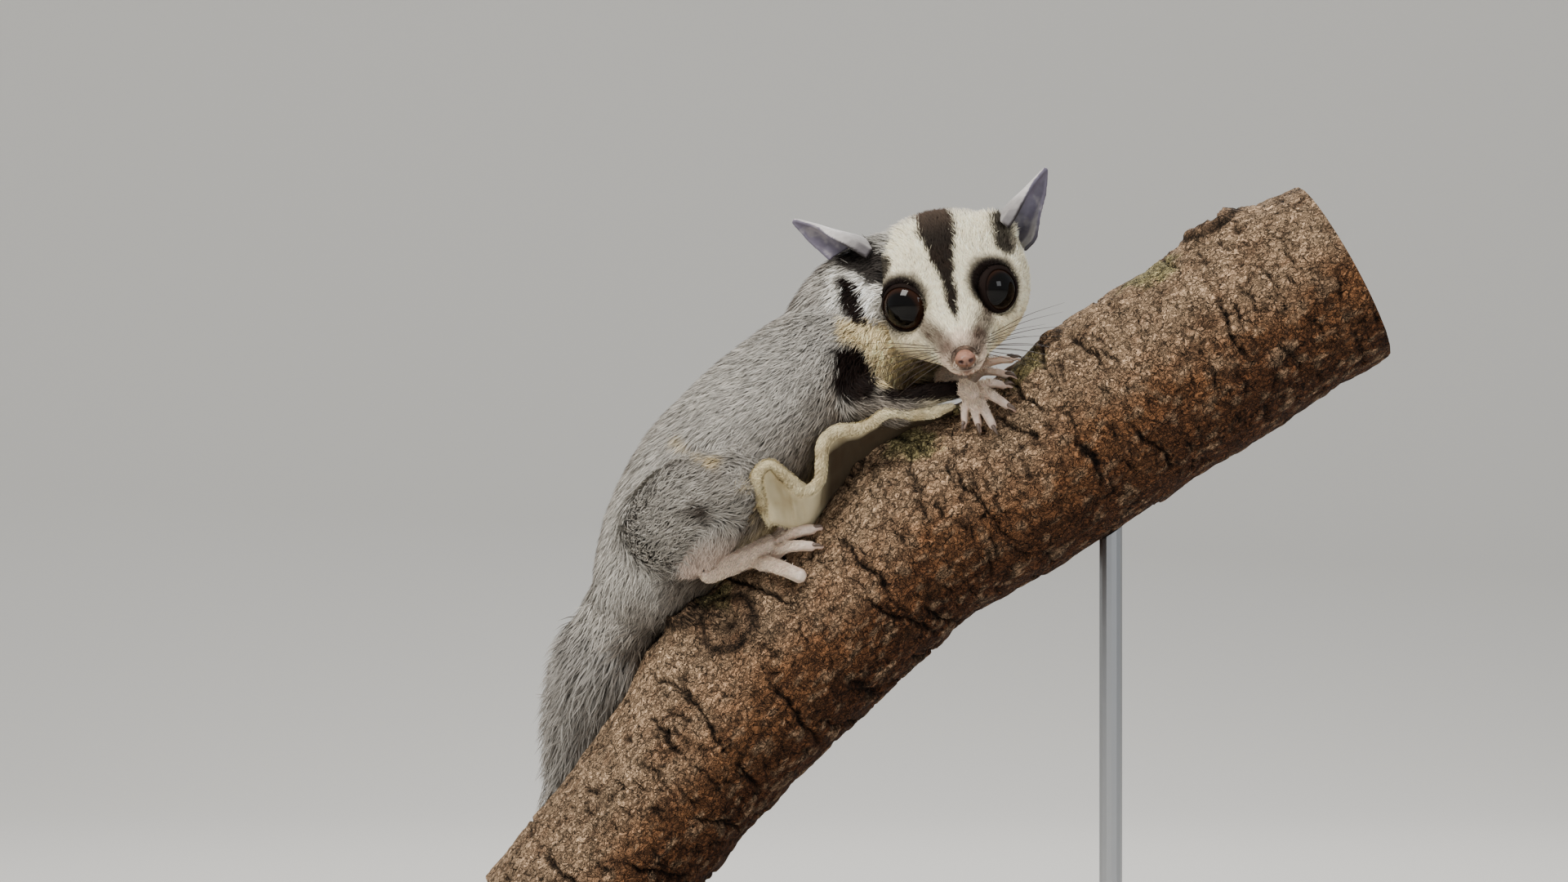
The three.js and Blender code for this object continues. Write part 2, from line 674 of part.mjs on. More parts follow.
function membrane(edge) {
  const line = new THREE.CatmullRomCurve3(edge.map((p) => point(...p)), false, "centripetal");
  const stations = 26;
  const rings = [];
  for (let i = 0; i <= stations; i++) {
    const t = i / stations;
    const p = line.getPointAt(t);
    const ends = Math.min(1, 0.6 + 6 * Math.min(t, 1 - t));
    const rise = 0.7 * MEMBRANE.rise;
    const root = p.clone().add(point(-rise, -Math.sign(p.y) * MEMBRANE.reach, rise));
    const tangent = line.getTangentAt(t);
    const inward = root.clone().sub(p);
    inward.addScaledVector(tangent, -inward.dot(tangent)).normalize();
    const normal = tangent.clone().cross(inward).normalize();
    const around = (degrees) => {
      const angle = THREE.MathUtils.degToRad(degrees);
      return p
        .clone()
        .addScaledVector(inward, Math.cos(angle) * MEMBRANE.roll * ends)
        .addScaledVector(normal, Math.sin(angle) * MEMBRANE.roll * ends);
    };
    const face = (q, sign) => q.clone().addScaledVector(normal, sign * MEMBRANE.web * ends);
    const near = p.clone().lerp(root, 0.25);
    rings.push([
      ...[180, 110, 50].map(around),
      face(near, 1),
      face(root, 1),
      face(root, -1),
      face(near, -1),
      ...[310, 250].map(around),
    ]);
  }
  return over(rings, 5);
}

// The tail, as stations of its bony line: [x, y, z, half-width to the tips of the coat].
const TAIL = [
  [-29, 3, -30.6, 10.4],
  [-32.8, 5.4, -38.8, 10.1],
  [-35.6, 10.5, -46.6, 9.7],
  [-37.2, 17.5, -55.4, 9.3],
  [-37.8, 22.6, -65, 8.6],
  [-39, 25.2, -77.4, 8.5],
  [-40, 26, -91, 8.5],
  [-40.4, 25.4, -105, 8.6],
  [-38.6, 24.4, -119, 8.8],
  [-33, 23.6, -131.6, 8.8],
  [-23, 23, -139.8, 8.4],
  [-10.5, 22.4, -141.4, 7.4],
  [-0.5, 22, -136, 5.4],
];
const tailLine = new THREE.CatmullRomCurve3(TAIL.map(([x, y, z]) => point(x, y, z)));
const tailSize = new THREE.CatmullRomCurve3(TAIL.map(([, , , r], i) => point(i * 12, r, 0)));

// The coat of the tail: a core, and locks in staggered rows that rise from it to the tips of the hair.
// Sizes across are shares of the half-width to the tips, and sizes along are shares of the tail's length.
const TAIL_COAT = {
  core: 0.64,
  root: 0.28,
  swell: 0.11,
  rows: 12,
  around: 5,
  first: 0.015,
  length: 0.165,
  taper: 0.88,
  end: 1.02,
};
const LOCK = [
  // [share of the lock's length, reach, half-width in degrees, rise of its ridge in millimetres]
  [0, 0.46, 20, 0.7],
  [0.42, 0.86, 31, 0.7],
  [0.76, 0.95, 23, 0.5],
];
const LOCK_TIP = 1;

// The place at a share s of the tail's length, an angle round it and a share of the coat's reach.
function onTail(s, degrees, share, lift = 0) {
  const t = tailLine.getUtoTmapping(Math.min(s, 1));
  const tangent = tailLine.getTangent(t);
  const { side, up } = across(tangent, OUT);
  const angle = THREE.MathUtils.degToRad(degrees);
  const narrowing = 1 - 0.75 * THREE.MathUtils.smoothstep(s, TAIL_COAT.taper, TAIL_COAT.end);
  const reach = tailSize.getPoint(t).y * share * narrowing + lift;
  const past = Math.max(0, s - 1) * tailLine.getLength();
  return tailLine
    .getPoint(t)
    .addScaledVector(tangent, past)
    .addScaledVector(up, Math.cos(angle) * reach)
    .addScaledVector(side, Math.sin(angle) * reach);
}

// The core's reach at a share of the tail's length: it swells towards the rump.
const coreReach = (s) =>
  TAIL_COAT.core + TAIL_COAT.root * (1 - THREE.MathUtils.smoothstep(s, 0, TAIL_COAT.swell));

// The core of a stretch of the tail between two shares of its length.
function tailCore(from, to) {
  const sides = 9;
  const steps = Math.max(4, Math.round((to - from) * 22));
  const rings = [];
  for (let i = 0; i <= steps; i++) {
    const s = from + ((to - from) * i) / steps;
    const ring = [];
    for (let k = 0; k < sides; k++) ring.push(onTail(s, (360 * k) / sides, coreReach(s)));
    rings.push(ring);
  }
  return over(rings);
}

// A draw from -1 to 1 that is the same on every run.
function draw(seed) {
  const wave = Math.sin(seed * 127.1 + 11.7) * 43758.5453;
  return 2 * (wave - Math.floor(wave)) - 1;
}

// A lock: a flat, tapered tongue that bends from its root in the core out to the tips of the coat.
function tailLock(root, degrees, seed) {
  const length = Math.min(TAIL_COAT.length * (1 + 0.1 * draw(seed)), TAIL_COAT.end - root);
  const sway = 5 * draw(seed + 0.5);
  const rings = LOCK.map(([share, reach, half, ridge]) => {
    const s = root + share * length;
    const middle = degrees + sway * share;
    return [
      onTail(s, middle - half, reach),
      onTail(s, middle, reach, ridge),
      onTail(s, middle + half, reach),
    ];
  });
  const tip = root + length;
  rings.push([-1.5, 0, 1.5].map((off) => onTail(tip, degrees + sway + off, LOCK_TIP, off ? 0 : 0.2)));
  return over(rings);
}

// The share of the tail's length at which a row of locks has its roots.
function tailRow(row) {
  const last = TAIL_COAT.end - TAIL_COAT.length * 0.6;
  return TAIL_COAT.first + ((last - TAIL_COAT.first) * row) / (TAIL_COAT.rows - 1);
}

// The locks of some rows.
function tailLocks(firstRow, endRow) {
  const locks = [];
  for (let row = firstRow; row < endRow; row++)
    for (let k = 0; k < TAIL_COAT.around; k++) {
      const seed = row * TAIL_COAT.around + k;
      const degrees = ((k + (row % 2) / 2) * 360) / TAIL_COAT.around + 4 * draw(seed + 0.25);
      locks.push(tailLock(tailRow(row), degrees, seed));
    }
  return locks;
}

// The tail is parted into stretches of equally many rows, just short of a row's roots.
const STRETCHES = 4;
const STRETCH_ROWS = TAIL_COAT.rows / STRETCHES;
const CUT_BEFORE_ROOTS = 0.008;
const tailGap = GAP / tailLine.getLength() / 2;

function tailStretch(i) {
  const from = i ? tailRow(i * STRETCH_ROWS) - CUT_BEFORE_ROOTS + tailGap : 0;
  const to = i < STRETCHES - 1 ? tailRow((i + 1) * STRETCH_ROWS) - CUT_BEFORE_ROOTS - tailGap : 0.98;
  return join([tailCore(from, to), ...tailLocks(i * STRETCH_ROWS, (i + 1) * STRETCH_ROWS)]);
}

// Everything, with the colour, roughness and metalness of its material.
const COATS = {
  grey: { color: 0x8d8781, roughness: 0.9, metalness: 0 },
  face: { color: 0xd9cfbf, roughness: 0.9, metalness: 0 },
  ear: { color: 0x6f6a72, roughness: 0.6, metalness: 0 },
  pink: { color: 0xd8b7a9, roughness: 0.55, metalness: 0 },
  eye: { color: 0x0c0806, roughness: 0.05, metalness: 0 },
  membrane: { color: 0xd6cd9f, roughness: 0.8, metalness: 0 },
  bark: { color: 0x8a5f40, roughness: 0.95, metalness: 0 },
  plinth: { color: 0x2c2622, roughness: 0.5, metalness: 0 },
  steel: { color: 0x9a9c9e, roughness: 0.3, metalness: 1 },
};
const materials = Object.fromEntries(
  Object.entries(COATS).map(([name, look]) => [name, new THREE.MeshStandardMaterial(look)]),
);

const glider = new THREE.Group();
glider.position.copy(CHEST);

function add(name, solid, coat) {
  const mesh = new THREE.Mesh(geometryOf(largest(solid.simplify(FINEST))), materials[coat]);
  mesh.name = name;
  glider.add(mesh);
}

// Booleans leave edges too short to keep, so each solid sheds those under this length.
const FINEST = 0.2;

const wood = branch();
const woodCut = branch(GAP);
add("branch", wood, "bark");
add("stand_base", standBase(), "plinth");
add("stand_rod_rear", standRod(ROD_X.rear, woodCut), "steel");
add("stand_rod_front", standRod(ROD_X.front, woodCut), "steel");

const torso = (grow = 0) => limb(TORSO, { sides: 22, steps: 14, caps: [0.75, 0.8], square: 0.96 }, grow);
const neck = (grow = 0) => limb(NECK, { sides: 18, steps: 7, caps: [0.4, 0.3] }, grow);
const torsoCut = torso(GAP);
const headCut = skull(GAP);
const neckCut = neck(GAP);

add("torso", cutBy(torso(), [woodCut]), "grey");
add("head", cutBy(head(), [torsoCut]), "face");
add("neck", cutBy(neck(), [torsoCut, headCut, woodCut]), "grey");
add("nose", nose(), "pink");
add("eye_right", eyeball(-1), "eye");
add("eye_left", eyeball(1), "eye");
add("ear_right", cutBy(ear(EARS.right), [headCut, neckCut]), "ear");
add("ear_left", cutBy(ear(EARS.left), [headCut, neckCut]), "ear");

const bodyCuts = [torsoCut, neckCut, headCut, woodCut];
const SIDES = ["right", "left"];
for (const side of SIDES) {
  const fore = [`foreleg_${side}_upper`, `foreleg_${side}_lower`];
  const hind = [`thigh_${side}`, `shank_${side}`];
  for (const [upper, lower] of [fore, hind]) {
    add(upper, cutBy(limbSolid(upper), bodyCuts), "grey");
    add(lower, cutBy(limbSolid(lower), [...bodyCuts, limbSolid(upper, GAP)]), "grey");
  }
  const legCuts = [...fore, ...hind].map((name) => limbSolid(name, GAP));
  const hand = paw(PAWS[`hand_${side}`]);
  const foot = paw(PAWS[`foot_${side}`]);
  add(`hand_${side}`, cutBy(hand, [woodCut, ...legCuts, headCut, torsoCut]), "pink");
  add(`foot_${side}`, cutBy(foot, [woodCut, ...legCuts, torsoCut]), "pink");
  const pawCuts = [`hand_${side}`, `foot_${side}`].map((name) => paw(PAWS[name], GAP));
  const wing = cutBy(membrane(MEMBRANES[`patagium_${side}`]), [...bodyCuts, ...legCuts, ...pawCuts]);
  add(`patagium_${side}`, wing, "membrane");
}

for (let i = 0; i < STRETCHES; i++)
  add(`tail_${i + 1}`, cutBy(tailStretch(i), [torsoCut, woodCut, limbSolid("thigh_left", GAP)]), "grey");

export default glider;
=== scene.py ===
"""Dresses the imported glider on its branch: skin, coat, eyes, claws, whiskers, bark and stand."""

import math

import bpy
import numpy as np
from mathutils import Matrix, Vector
from mathutils.kdtree import KDTree


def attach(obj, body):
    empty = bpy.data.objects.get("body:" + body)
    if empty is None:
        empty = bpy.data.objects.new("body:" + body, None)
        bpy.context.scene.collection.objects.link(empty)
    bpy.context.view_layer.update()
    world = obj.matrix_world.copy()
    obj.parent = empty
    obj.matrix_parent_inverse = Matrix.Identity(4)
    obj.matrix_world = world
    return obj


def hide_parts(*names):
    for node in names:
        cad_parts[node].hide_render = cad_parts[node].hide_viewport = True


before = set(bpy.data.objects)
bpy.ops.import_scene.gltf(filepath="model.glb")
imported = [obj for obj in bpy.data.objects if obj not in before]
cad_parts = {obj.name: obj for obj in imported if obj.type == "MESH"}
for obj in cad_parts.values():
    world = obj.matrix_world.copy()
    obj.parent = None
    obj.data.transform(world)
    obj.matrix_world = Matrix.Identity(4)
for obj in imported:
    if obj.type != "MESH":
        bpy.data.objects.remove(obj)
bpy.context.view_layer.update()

# The pose is laid out in millimetres about the animal's chest, which lies here in the row frame.
CHEST = np.array([-28.0, -4.0, 169.0])
SEED = 11
rng = np.random.default_rng(SEED)


def linear(srgb):
    c = np.asarray(srgb, float) / 255
    return np.where(c <= 0.04045, c / 12.92, ((c + 0.055) / 1.055) ** 2.4)


# Colours, named, from sRGB.
COLOURS = {
    "silver": (186, 181, 172),
    "grey": (150, 145, 138),
    "warm_grey": (136, 127, 116),
    "brown_grey": (112, 100, 87),
    "ruff": (244, 222, 174),
    "stripe": (74, 60, 50),
    "cream": (255, 244, 214),
    "white": (252, 247, 236),
    "buff": (226, 202, 152),
    "soot": (24, 14, 10),
    "dark_brown": (46, 30, 20),
    "smudge": (86, 66, 54),
    "pink": (226, 198, 180),
    "deep_pink": (176, 128, 108),
    "nose": (128, 92, 74),
    "nostril": (66, 36, 28),
    "membrane": (238, 224, 184),
    "membrane_fold_shade": (176, 152, 108),
    "ear": (108, 102, 118),
    "ear_back": (204, 198, 194),
    "ear_rim": (190, 184, 180),
    "pupil": (7, 5, 4),
    "iris": (40, 22, 12),
    "horn": (96, 80, 70),
    "bark_pale": (190, 160, 128),
    "bark_mid": (134, 92, 60),
    "bark_low": (82, 50, 30),
    "bark_crack": (26, 16, 10),
    "lichen": (168, 158, 108),
    "cut_wood": (190, 152, 104),
    "cut_ring": (150, 106, 66),
    "plinth": (58, 38, 27),
    "steel": (178, 180, 183),
    "floor": (222, 219, 213),
}
C = {name: linear(value) for name, value in COLOURS.items()}


def mix(a, b, t):
    """Colour a moved towards b by t, which is one share or one for each point."""
    t = np.clip(t, 0, 1)
    return a + (b - a) * (t[:, None] if np.ndim(t) else t)


def smooth(low, high, x):
    """0 below low, 1 above high, and a smooth step between."""
    t = np.clip((x - low) / (high - low), 0, 1)
    return t * t * (3 - 2 * t)


def bump(x, middle, half, soft):
    """1 within half of middle, falling to 0 over soft."""
    return 1 - smooth(half, half + soft, np.abs(x - middle))


def unit(v):
    return v / np.maximum(np.linalg.norm(v, axis=-1, keepdims=True), 1e-9)


# Smooth noise on a lattice, from -1 to 1.
def lattice(i, j, k, seed):
    h = i * 374761393 + j * 668265263 + k * 2147483647 + seed * 1274126177
    h = (h ^ (h >> 13)) * 1103515245
    return ((h ^ (h >> 16)) & 0xFFFF) / 32767.5 - 1


def noise(p, seed):
    p = np.asarray(p, float)
    base = np.floor(p).astype(np.int64)
    f = p - base
    f = f * f * (3 - 2 * f)
    total = np.zeros(len(p))
    for corner in np.ndindex(2, 2, 2):
        share = np.where(corner, f, 1 - f)
        i, j, k = (base + corner).T
        total += share[:, 0] * share[:, 1] * share[:, 2] * lattice(i, j, k, seed)
    return total


def layered(p, seed, octaves=3):
    total = np.zeros(len(p))
    for i in range(octaves):
        total += noise(np.asarray(p) * 2**i, seed + i) / 2**i
    return total


def spline(points, count):
    """count points spaced evenly along a smooth line through points, and the unit tangents there."""
    points = np.asarray(points, float)
    padded = np.vstack([2 * points[0] - points[1], points, 2 * points[-1] - points[-2]])
    dense = []
    for i in range(len(points) - 1):
        a, b, c, d = padded[i : i + 4]
        square, cube = 2 * a - 5 * b + 4 * c - d, 3 * b - a - 3 * c + d
        for t in np.linspace(0, 1, 24, endpoint=False):
            dense.append(0.5 * (2 * b + (c - a) * t + square * t**2 + cube * t**3))
    dense.append(points[-1])
    dense = np.array(dense)
    along = np.concatenate([[0], np.cumsum(np.linalg.norm(np.diff(dense[:, :3], axis=0), axis=1))])
    even = np.linspace(0, along[-1], count)
    line = np.stack([np.interp(even, along, dense[:, k]) for k in range(dense.shape[1])], axis=1)
    return line, unit(np.gradient(line[:, :3], axis=0))


# The branch, as stations of its axis: [x, z, radius].
BRANCH = [
    [-44, -93, 16.6],
    [-27.4, -73, 16.7],
    [-17.1, -60.1, 17.1],
    [5.6, -37.7, 17.4],
    [24.8, -18.9, 18.1],
    [45, -6.7, 18.3],
    [65.7, 7.8, 19.4],
    [78.9, 16.3, 19.6],
    [93, 25.1, 19],
    [106, 32.2, 18.4],
]
BRANCH_STEPS = 421
branch_line, branch_way = spline([[x, 0, z, r] for x, z, r in BRANCH], BRANCH_STEPS)
branch_up = np.stack([-branch_way[:, 2], np.zeros(BRANCH_STEPS), branch_way[:, 0]], axis=1)
BRANCH_LENGTH = float(np.linalg.norm(np.diff(branch_line[:, :3], axis=0), axis=1).sum())


def on_branch(share, degrees, height=0.0):
    """A place on the bark: a share of the branch's length, degrees from its ridge and a height."""
    at = np.asarray(share, float) * (BRANCH_STEPS - 1)
    line = np.stack([np.interp(at, np.arange(BRANCH_STEPS), branch_line[:, k]) for k in range(4)], axis=-1)
    up = np.stack([np.interp(at, np.arange(BRANCH_STEPS), branch_up[:, k]) for k in range(3)], axis=-1)
    angle = np.radians(np.asarray(degrees, float))
    reach = line[..., 3] + height
    side = np.array([0.0, -1.0, 0.0])
    across, out = np.cos(angle) * reach, np.sin(angle) * reach
    return line[..., :3] + up * across[..., None] + side * out[..., None]


def branch_height(p):
    """How far each point lies outside the branch's plain surface."""
    best = np.full(len(p), 1e9)
    for i in range(0, BRANCH_STEPS, 6):
        d = p - branch_line[i, :3]
        ahead = np.abs(d @ branch_way[i])
        radial = np.sqrt(np.maximum((d**2).sum(1) - ahead**2, 0)) - branch_line[i, 3]
        best = np.where(ahead < 2.2, np.minimum(best, radial), best)
    return best


# The head's own directions: towards the animal's left, forward and up.
SKULL = {"at": np.array([30.0, -6.0, 32.0]), "yaw": 4, "pitch": 21, "roll": 12}
_yaw, _pitch, _roll = (math.radians(SKULL[k]) for k in ("yaw", "pitch", "roll"))
FORWARD = np.array(
    [math.sin(_yaw) * math.cos(_pitch), -math.cos(_yaw) * math.cos(_pitch), -math.sin(_pitch)]
)
_level = np.array([math.cos(_yaw), math.sin(_yaw), 0.0])
LEFT = _level * math.cos(_roll) + np.cross(FORWARD, _level) * math.sin(_roll)
UP = np.cross(FORWARD, LEFT)
HEAD_AXES = np.stack([LEFT, FORWARD, UP])
EYE = {"radius": 5.0, "side": 7.5, "forward": 8.0, "up": -2.4, "outward": 31, "upward": 8}


def in_head(local):
    return SKULL["at"] + np.asarray(local, float) @ HEAD_AXES


def to_head(p):
    return (p - SKULL["at"]) @ HEAD_AXES.T


def eye_axis(sign):
    out, up = math.radians(EYE["outward"]), math.radians(EYE["upward"])
    local = np.array([sign * math.sin(out) * math.cos(up), math.cos(out) * math.cos(up), math.sin(up)])
    return local @ HEAD_AXES


def eye_centre(sign):
    return in_head([sign * EYE["side"], EYE["forward"], EYE["up"]])


def from_eye(p, sign):
    """For each point: its way from the eye's middle, how far that is along the axis, and the rest."""
    away = p - eye_centre(sign)
    axis = eye_axis(sign)
    along = away @ axis
    return away, along, away - along[:, None] * axis


# What the coat follows: lines in the way the fur lies, their reach, and the kind of coat.
SPINE = [
    [23.6, 3, 28.6],
    [16, 2, 22.6],
    [6.5, 0.5, 11.4],
    [-2.8, 0.5, 2.8],
    [-12.1, 1, -7.3],
    [-20.8, 1.5, -17.2],
    [-27, 2, -27.6],
]
TAIL = [
    [-29, 3, -30.6],
    [-32.8, 5.4, -38.8],
    [-35.6, 10.5, -46.6],
    [-37.2, 17.5, -55.4],
    [-37.8, 22.6, -65],
    [-39, 25.2, -77.4],
    [-40, 26, -91],
    [-40.4, 25.4, -105],
    [-38.6, 24.4, -119],
    [-33, 23.6, -131.6],
    [-23, 23, -139.8],
    [-10.5, 22.4, -141.4],
    [-0.5, 22, -136],
]
LINES = [
    # (points, reach, kind)
    (SPINE, 15.0, "body"),
    (TAIL, 8.0, "tail"),
    ([in_head(p) for p in ([0, 26, -10], [0, 14, -7], [0, 0, -3], [0, -12, -1])], 13.0, "head"),
    ([[10, -8, 11.5], [14.5, -12, 8.5], [19.5, -14.2, 6]], 4.6, "arm"),
    ([[19.8, -14.2, 5.8], [27, -12.2, 8.6], [33.4, -9.4, 9.8]], 3.0, "forearm"),
    ([[14, 9, 14], [21, 12, 13.5], [27.5, 12.5, 13.5]], 4.6, "arm"),
    ([[27.6, 12.5, 13.5], [33, 7.5, 15], [37.4, 1.4, 16.2]], 3.0, "forearm"),
    ([[-22.5, -8, -17.5], [-17, -13.5, -11.8], [-11.2, -18.5, -8.6]], 7.5, "leg"),
    ([[-10.8, -18.6, -9.4], [-13.4, -15.8, -16], [-15.2, -12, -22]], 4.4, "shank"),
    ([[-22.5, 11, -17.5], [-17, 16.5, -11.8], [-11.2, 21, -8.6]], 7.5, "leg"),
    ([[-10.8, 21, -9.4], [-13, 18, -16], [-15, 13.4, -22]], 4.4, "shank"),
]
KINDS = np.array([kind for _, _, kind in LINES])
# Each kind of coat: depth to the tips, length and width of a blade in millimetres, cover over the skin,
# and how far the skin lies inside the solids.
COATS = {
    "body": (1.6, 3.3, 0.22, 7.5, 1.7),
    "tail": (3.2, 8.4, 0.32, 8.5, 0.0),
    "head": (1.4, 2.9, 0.19, 7.0, 1.4),
    "arm": (1.1, 3.0, 0.22, 7.0, 1.3),
    "forearm": (0.6, 1.9, 0.18, 6.5, 0.7),
    "leg": (1.5, 3.2, 0.22, 7.5, 1.6),
    "shank": (0.9, 2.4, 0.2, 7.0, 0.9),
}
FACE_COAT = (0.4, 1.3, 0.15, 5.5, 0.5)
BESIDE_EYE = (0.3, 0.9, 0.14, 5.5, 0.35)


def follow(p):
    """For each point: the way the fur lies, the coat's numbers, the nearest line and the place along it."""
    weights = np.zeros(len(p))
    ways = np.zeros((len(p), 3))
    numbers = np.zeros((len(p), 5))
    nearest = np.full(len(p), 1e9)
    chart = np.zeros(len(p), int)
    place = np.zeros(len(p))
    for index, (points, reach, kind) in enumerate(LINES):
        line, tangent = spline(points, max(6, len(points) * 4))
        d = np.full(len(p), 1e9)
        at = np.zeros(len(p), int)
        for i, q in enumerate(line):
            here = np.linalg.norm(p - q, axis=1)
            closer = here < d
            d[closer] = here[closer]
            at[closer] = i
        ratio = d / reach
        w = 1 / (ratio + 0.05) ** 7
        weights += w
        ways += w[:, None] * tangent[at]
        numbers += w[:, None] * np.array(COATS[kind])
        closer = ratio < nearest
        nearest[closer] = ratio[closer]
        chart[closer] = index
        place[closer] = at[closer] / (len(line) - 1)
    ways = unit(ways)
    numbers /= weights[:, None]
    local = to_head(p)
    in_face = smooth(-4, 17, local[:, 1]) * (chart == 2)
    numbers = numbers * (1 - in_face[:, None]) + np.array(FACE_COAT) * in_face[:, None]
    for sign in (-1, 1):
        away, _, off = from_eye(p, sign)
        spread = unit(off)
        near = (1 - smooth(5.2, 9.0, np.linalg.norm(away, axis=1))) * (chart == 2)
        ways = unit(ways * (1 - near[:, None]) + spread * near[:, None])
        numbers = numbers * (1 - near[:, None]) + np.array(BESIDE_EYE) * near[:, None]
    return ways, numbers, chart, place


def within(outline, x, z, soft):
    """1 inside a side-view outline of (x, z) corners, 0 outside, over a soft edge."""
    corners = np.asarray(outline, float)
    ahead = np.roll(corners, -1, axis=0)
    point = np.stack([x, z], axis=1)
    nearest = np.full(len(x), 1e9)
    crossings = np.zeros(len(x), int)
    for a, b in zip(corners, ahead):
        along = np.clip(((point - a) @ (b - a)) / ((b - a) @ (b - a)), 0, 1)
        nearest = np.minimum(nearest, np.linalg.norm(point - a - along[:, None] * (b - a), axis=1))
        straddles = (a[1] > z) != (b[1] > z)
        slope = (b[0] - a[0]) / (b[1] - a[1]) if b[1] != a[1] else 0
        crossings += straddles & (x < a[0] + (z - a[1]) * slope)
    signed = np.where(crossings % 2 == 1, -nearest, nearest)
    return 1 - smooth(-soft / 2, soft / 2, signed)


def near_line(p, a, b, radius, soft):
    """1 within radius of the stretch from a to b, falling to 0 over soft."""
    a, b = np.asarray(a, float), np.asarray(b, float)
    along = np.clip(((p - a) @ (b - a)) / ((b - a) @ (b - a)), 0, 1)
    off = np.linalg.norm(p - a - along[:, None] * (b - a), axis=1)
    return 1 - smooth(radius, radius + soft, off)


# The patches on the sides of the neck, with painted shade below the ruff and under the chin, seen from the
# side: (colour, (x, z) corners, soft edge, strength).
NECK_PATCHES_AND_SHADE = [
    ("white", [(8.6, 24.4), (9, 31.6), (11, 31.4), (11.2, 24.4)], 1.0, 0.9),
    ("ruff", [(10, 21.6), (15.2, 22.6), (18.4, 22), (25, 18), (29, 15), (24, 10.2), (19.4, 8.8)]
     + [(16.6, 10.4), (14.2, 16.4), (10.2, 17.6)], 1.4, 0.97),
    ("white", [(12.8, 31), (16.2, 31.6), (18.4, 28), (17.6, 23.6), (15.2, 23.6), (14.2, 27)], 1.0, 0.97),
    ("soot", [(10.9, 29.8), (12.8, 30), (14.6, 26.4), (15.6, 21.6), (13.2, 21.4), (11.2, 24.4)], 0.7, 1.0),
    # Painted shade between the ruff and the shoulder.
    ("soot", [(9, 16.8), (13.4, 17), (16.4, 11.4), (16.6, 7.4), (12, 7.4), (8.4, 10.6)], 1.3, 1.0),
    # Painted shadow under the chin, along the upper arm.
    ("soot", [(17, 8.6), (22, 10.6), (28, 12.4), (35, 12.6), (35, 8.6), (28, 7.8), (19, 7)], 1.2, 1.0),
]
# The dark fur round the roots of the ears, in the head's own axes: (from, to, radius).
EAR_ROOTS = [
    ((-12.4, 4.0, 4.4), (-16.8, -4.8, 5.2), 2.7),
    ((12.2, 4.4, 4.6), (12.6, -1.6, 7.6), 2.0),
]
# The fold of the membrane's hind edge, which crosses the thigh.
THIGH_FOLD = [(-19.8, -12.5, -0.5), (-17, -17.5, -2.6), (-13.5, -20.3, -4.5)]
THIGH_FOLD += [(-8.3, -21.3, -9), (-5.4, -15, -13.7)]
# Painted shade in the crease between the thigh and the shank.
THIGH_CREASE_SHADE = [(-19.5, -17.5, -12.4), (-15.2, -21.5, -13.4), (-14.6, -20.5, -21)]


def body_colours(p, height, soft, fine):
    side = np.abs(p[:, 1] - 1.5)
    # Paler up the back and browner low on the flank: partly the coat's own tone, partly painted light from
    # above and painted shade on the lower flank.
    body = mix(C["warm_grey"], C["silver"], smooth(-11, 5, height + 4 * soft))
    body = mix(body, C["brown_grey"], smooth(2, 10, -height + 3 * soft) * 0.85)
    body = mix(body, C["brown_grey"], smooth(0.15, 0.8, layered(p / 11.0, 51)) * 0.45)
    dorsal = bump(side, 0, 1.5, 2.8) * smooth(2, 8, height)
    body = mix(body, C["stripe"], dorsal * (0.6 + 0.2 * fine))
    belly = smooth(9, 13.5, -height)
    return mix(body, C["buff"], belly * 0.8)


def tail_colours(p, soft):
    warmth = smooth(-3, 8, p[:, 0] + 33 + 3 * soft)
    tail = mix(C["grey"], C["brown_grey"], warmth * 0.75)
    return mix(tail, C["dark_brown"], smooth(-104, -142, p[:, 2] + 5 * soft) * 0.85)


# Half-width of the dark stripe on the head's midline, by how far forward: [forward, half-width].
HEAD_STRIPE = np.array(
    [[-14, 3.0], [-3, 3.7], [2, 3.6], [6, 2.7], [9.4, 1.9], [12, 1.35], [14.2, 1.15], [16.7, 0.8], [18, 0]]
)


# How far each dark eye ring lies from its eye's middle, to the animal's left and up.
RING_SHIFTS = {-1: (-0.35, 0.55), 1: (-0.7, 0.7)}


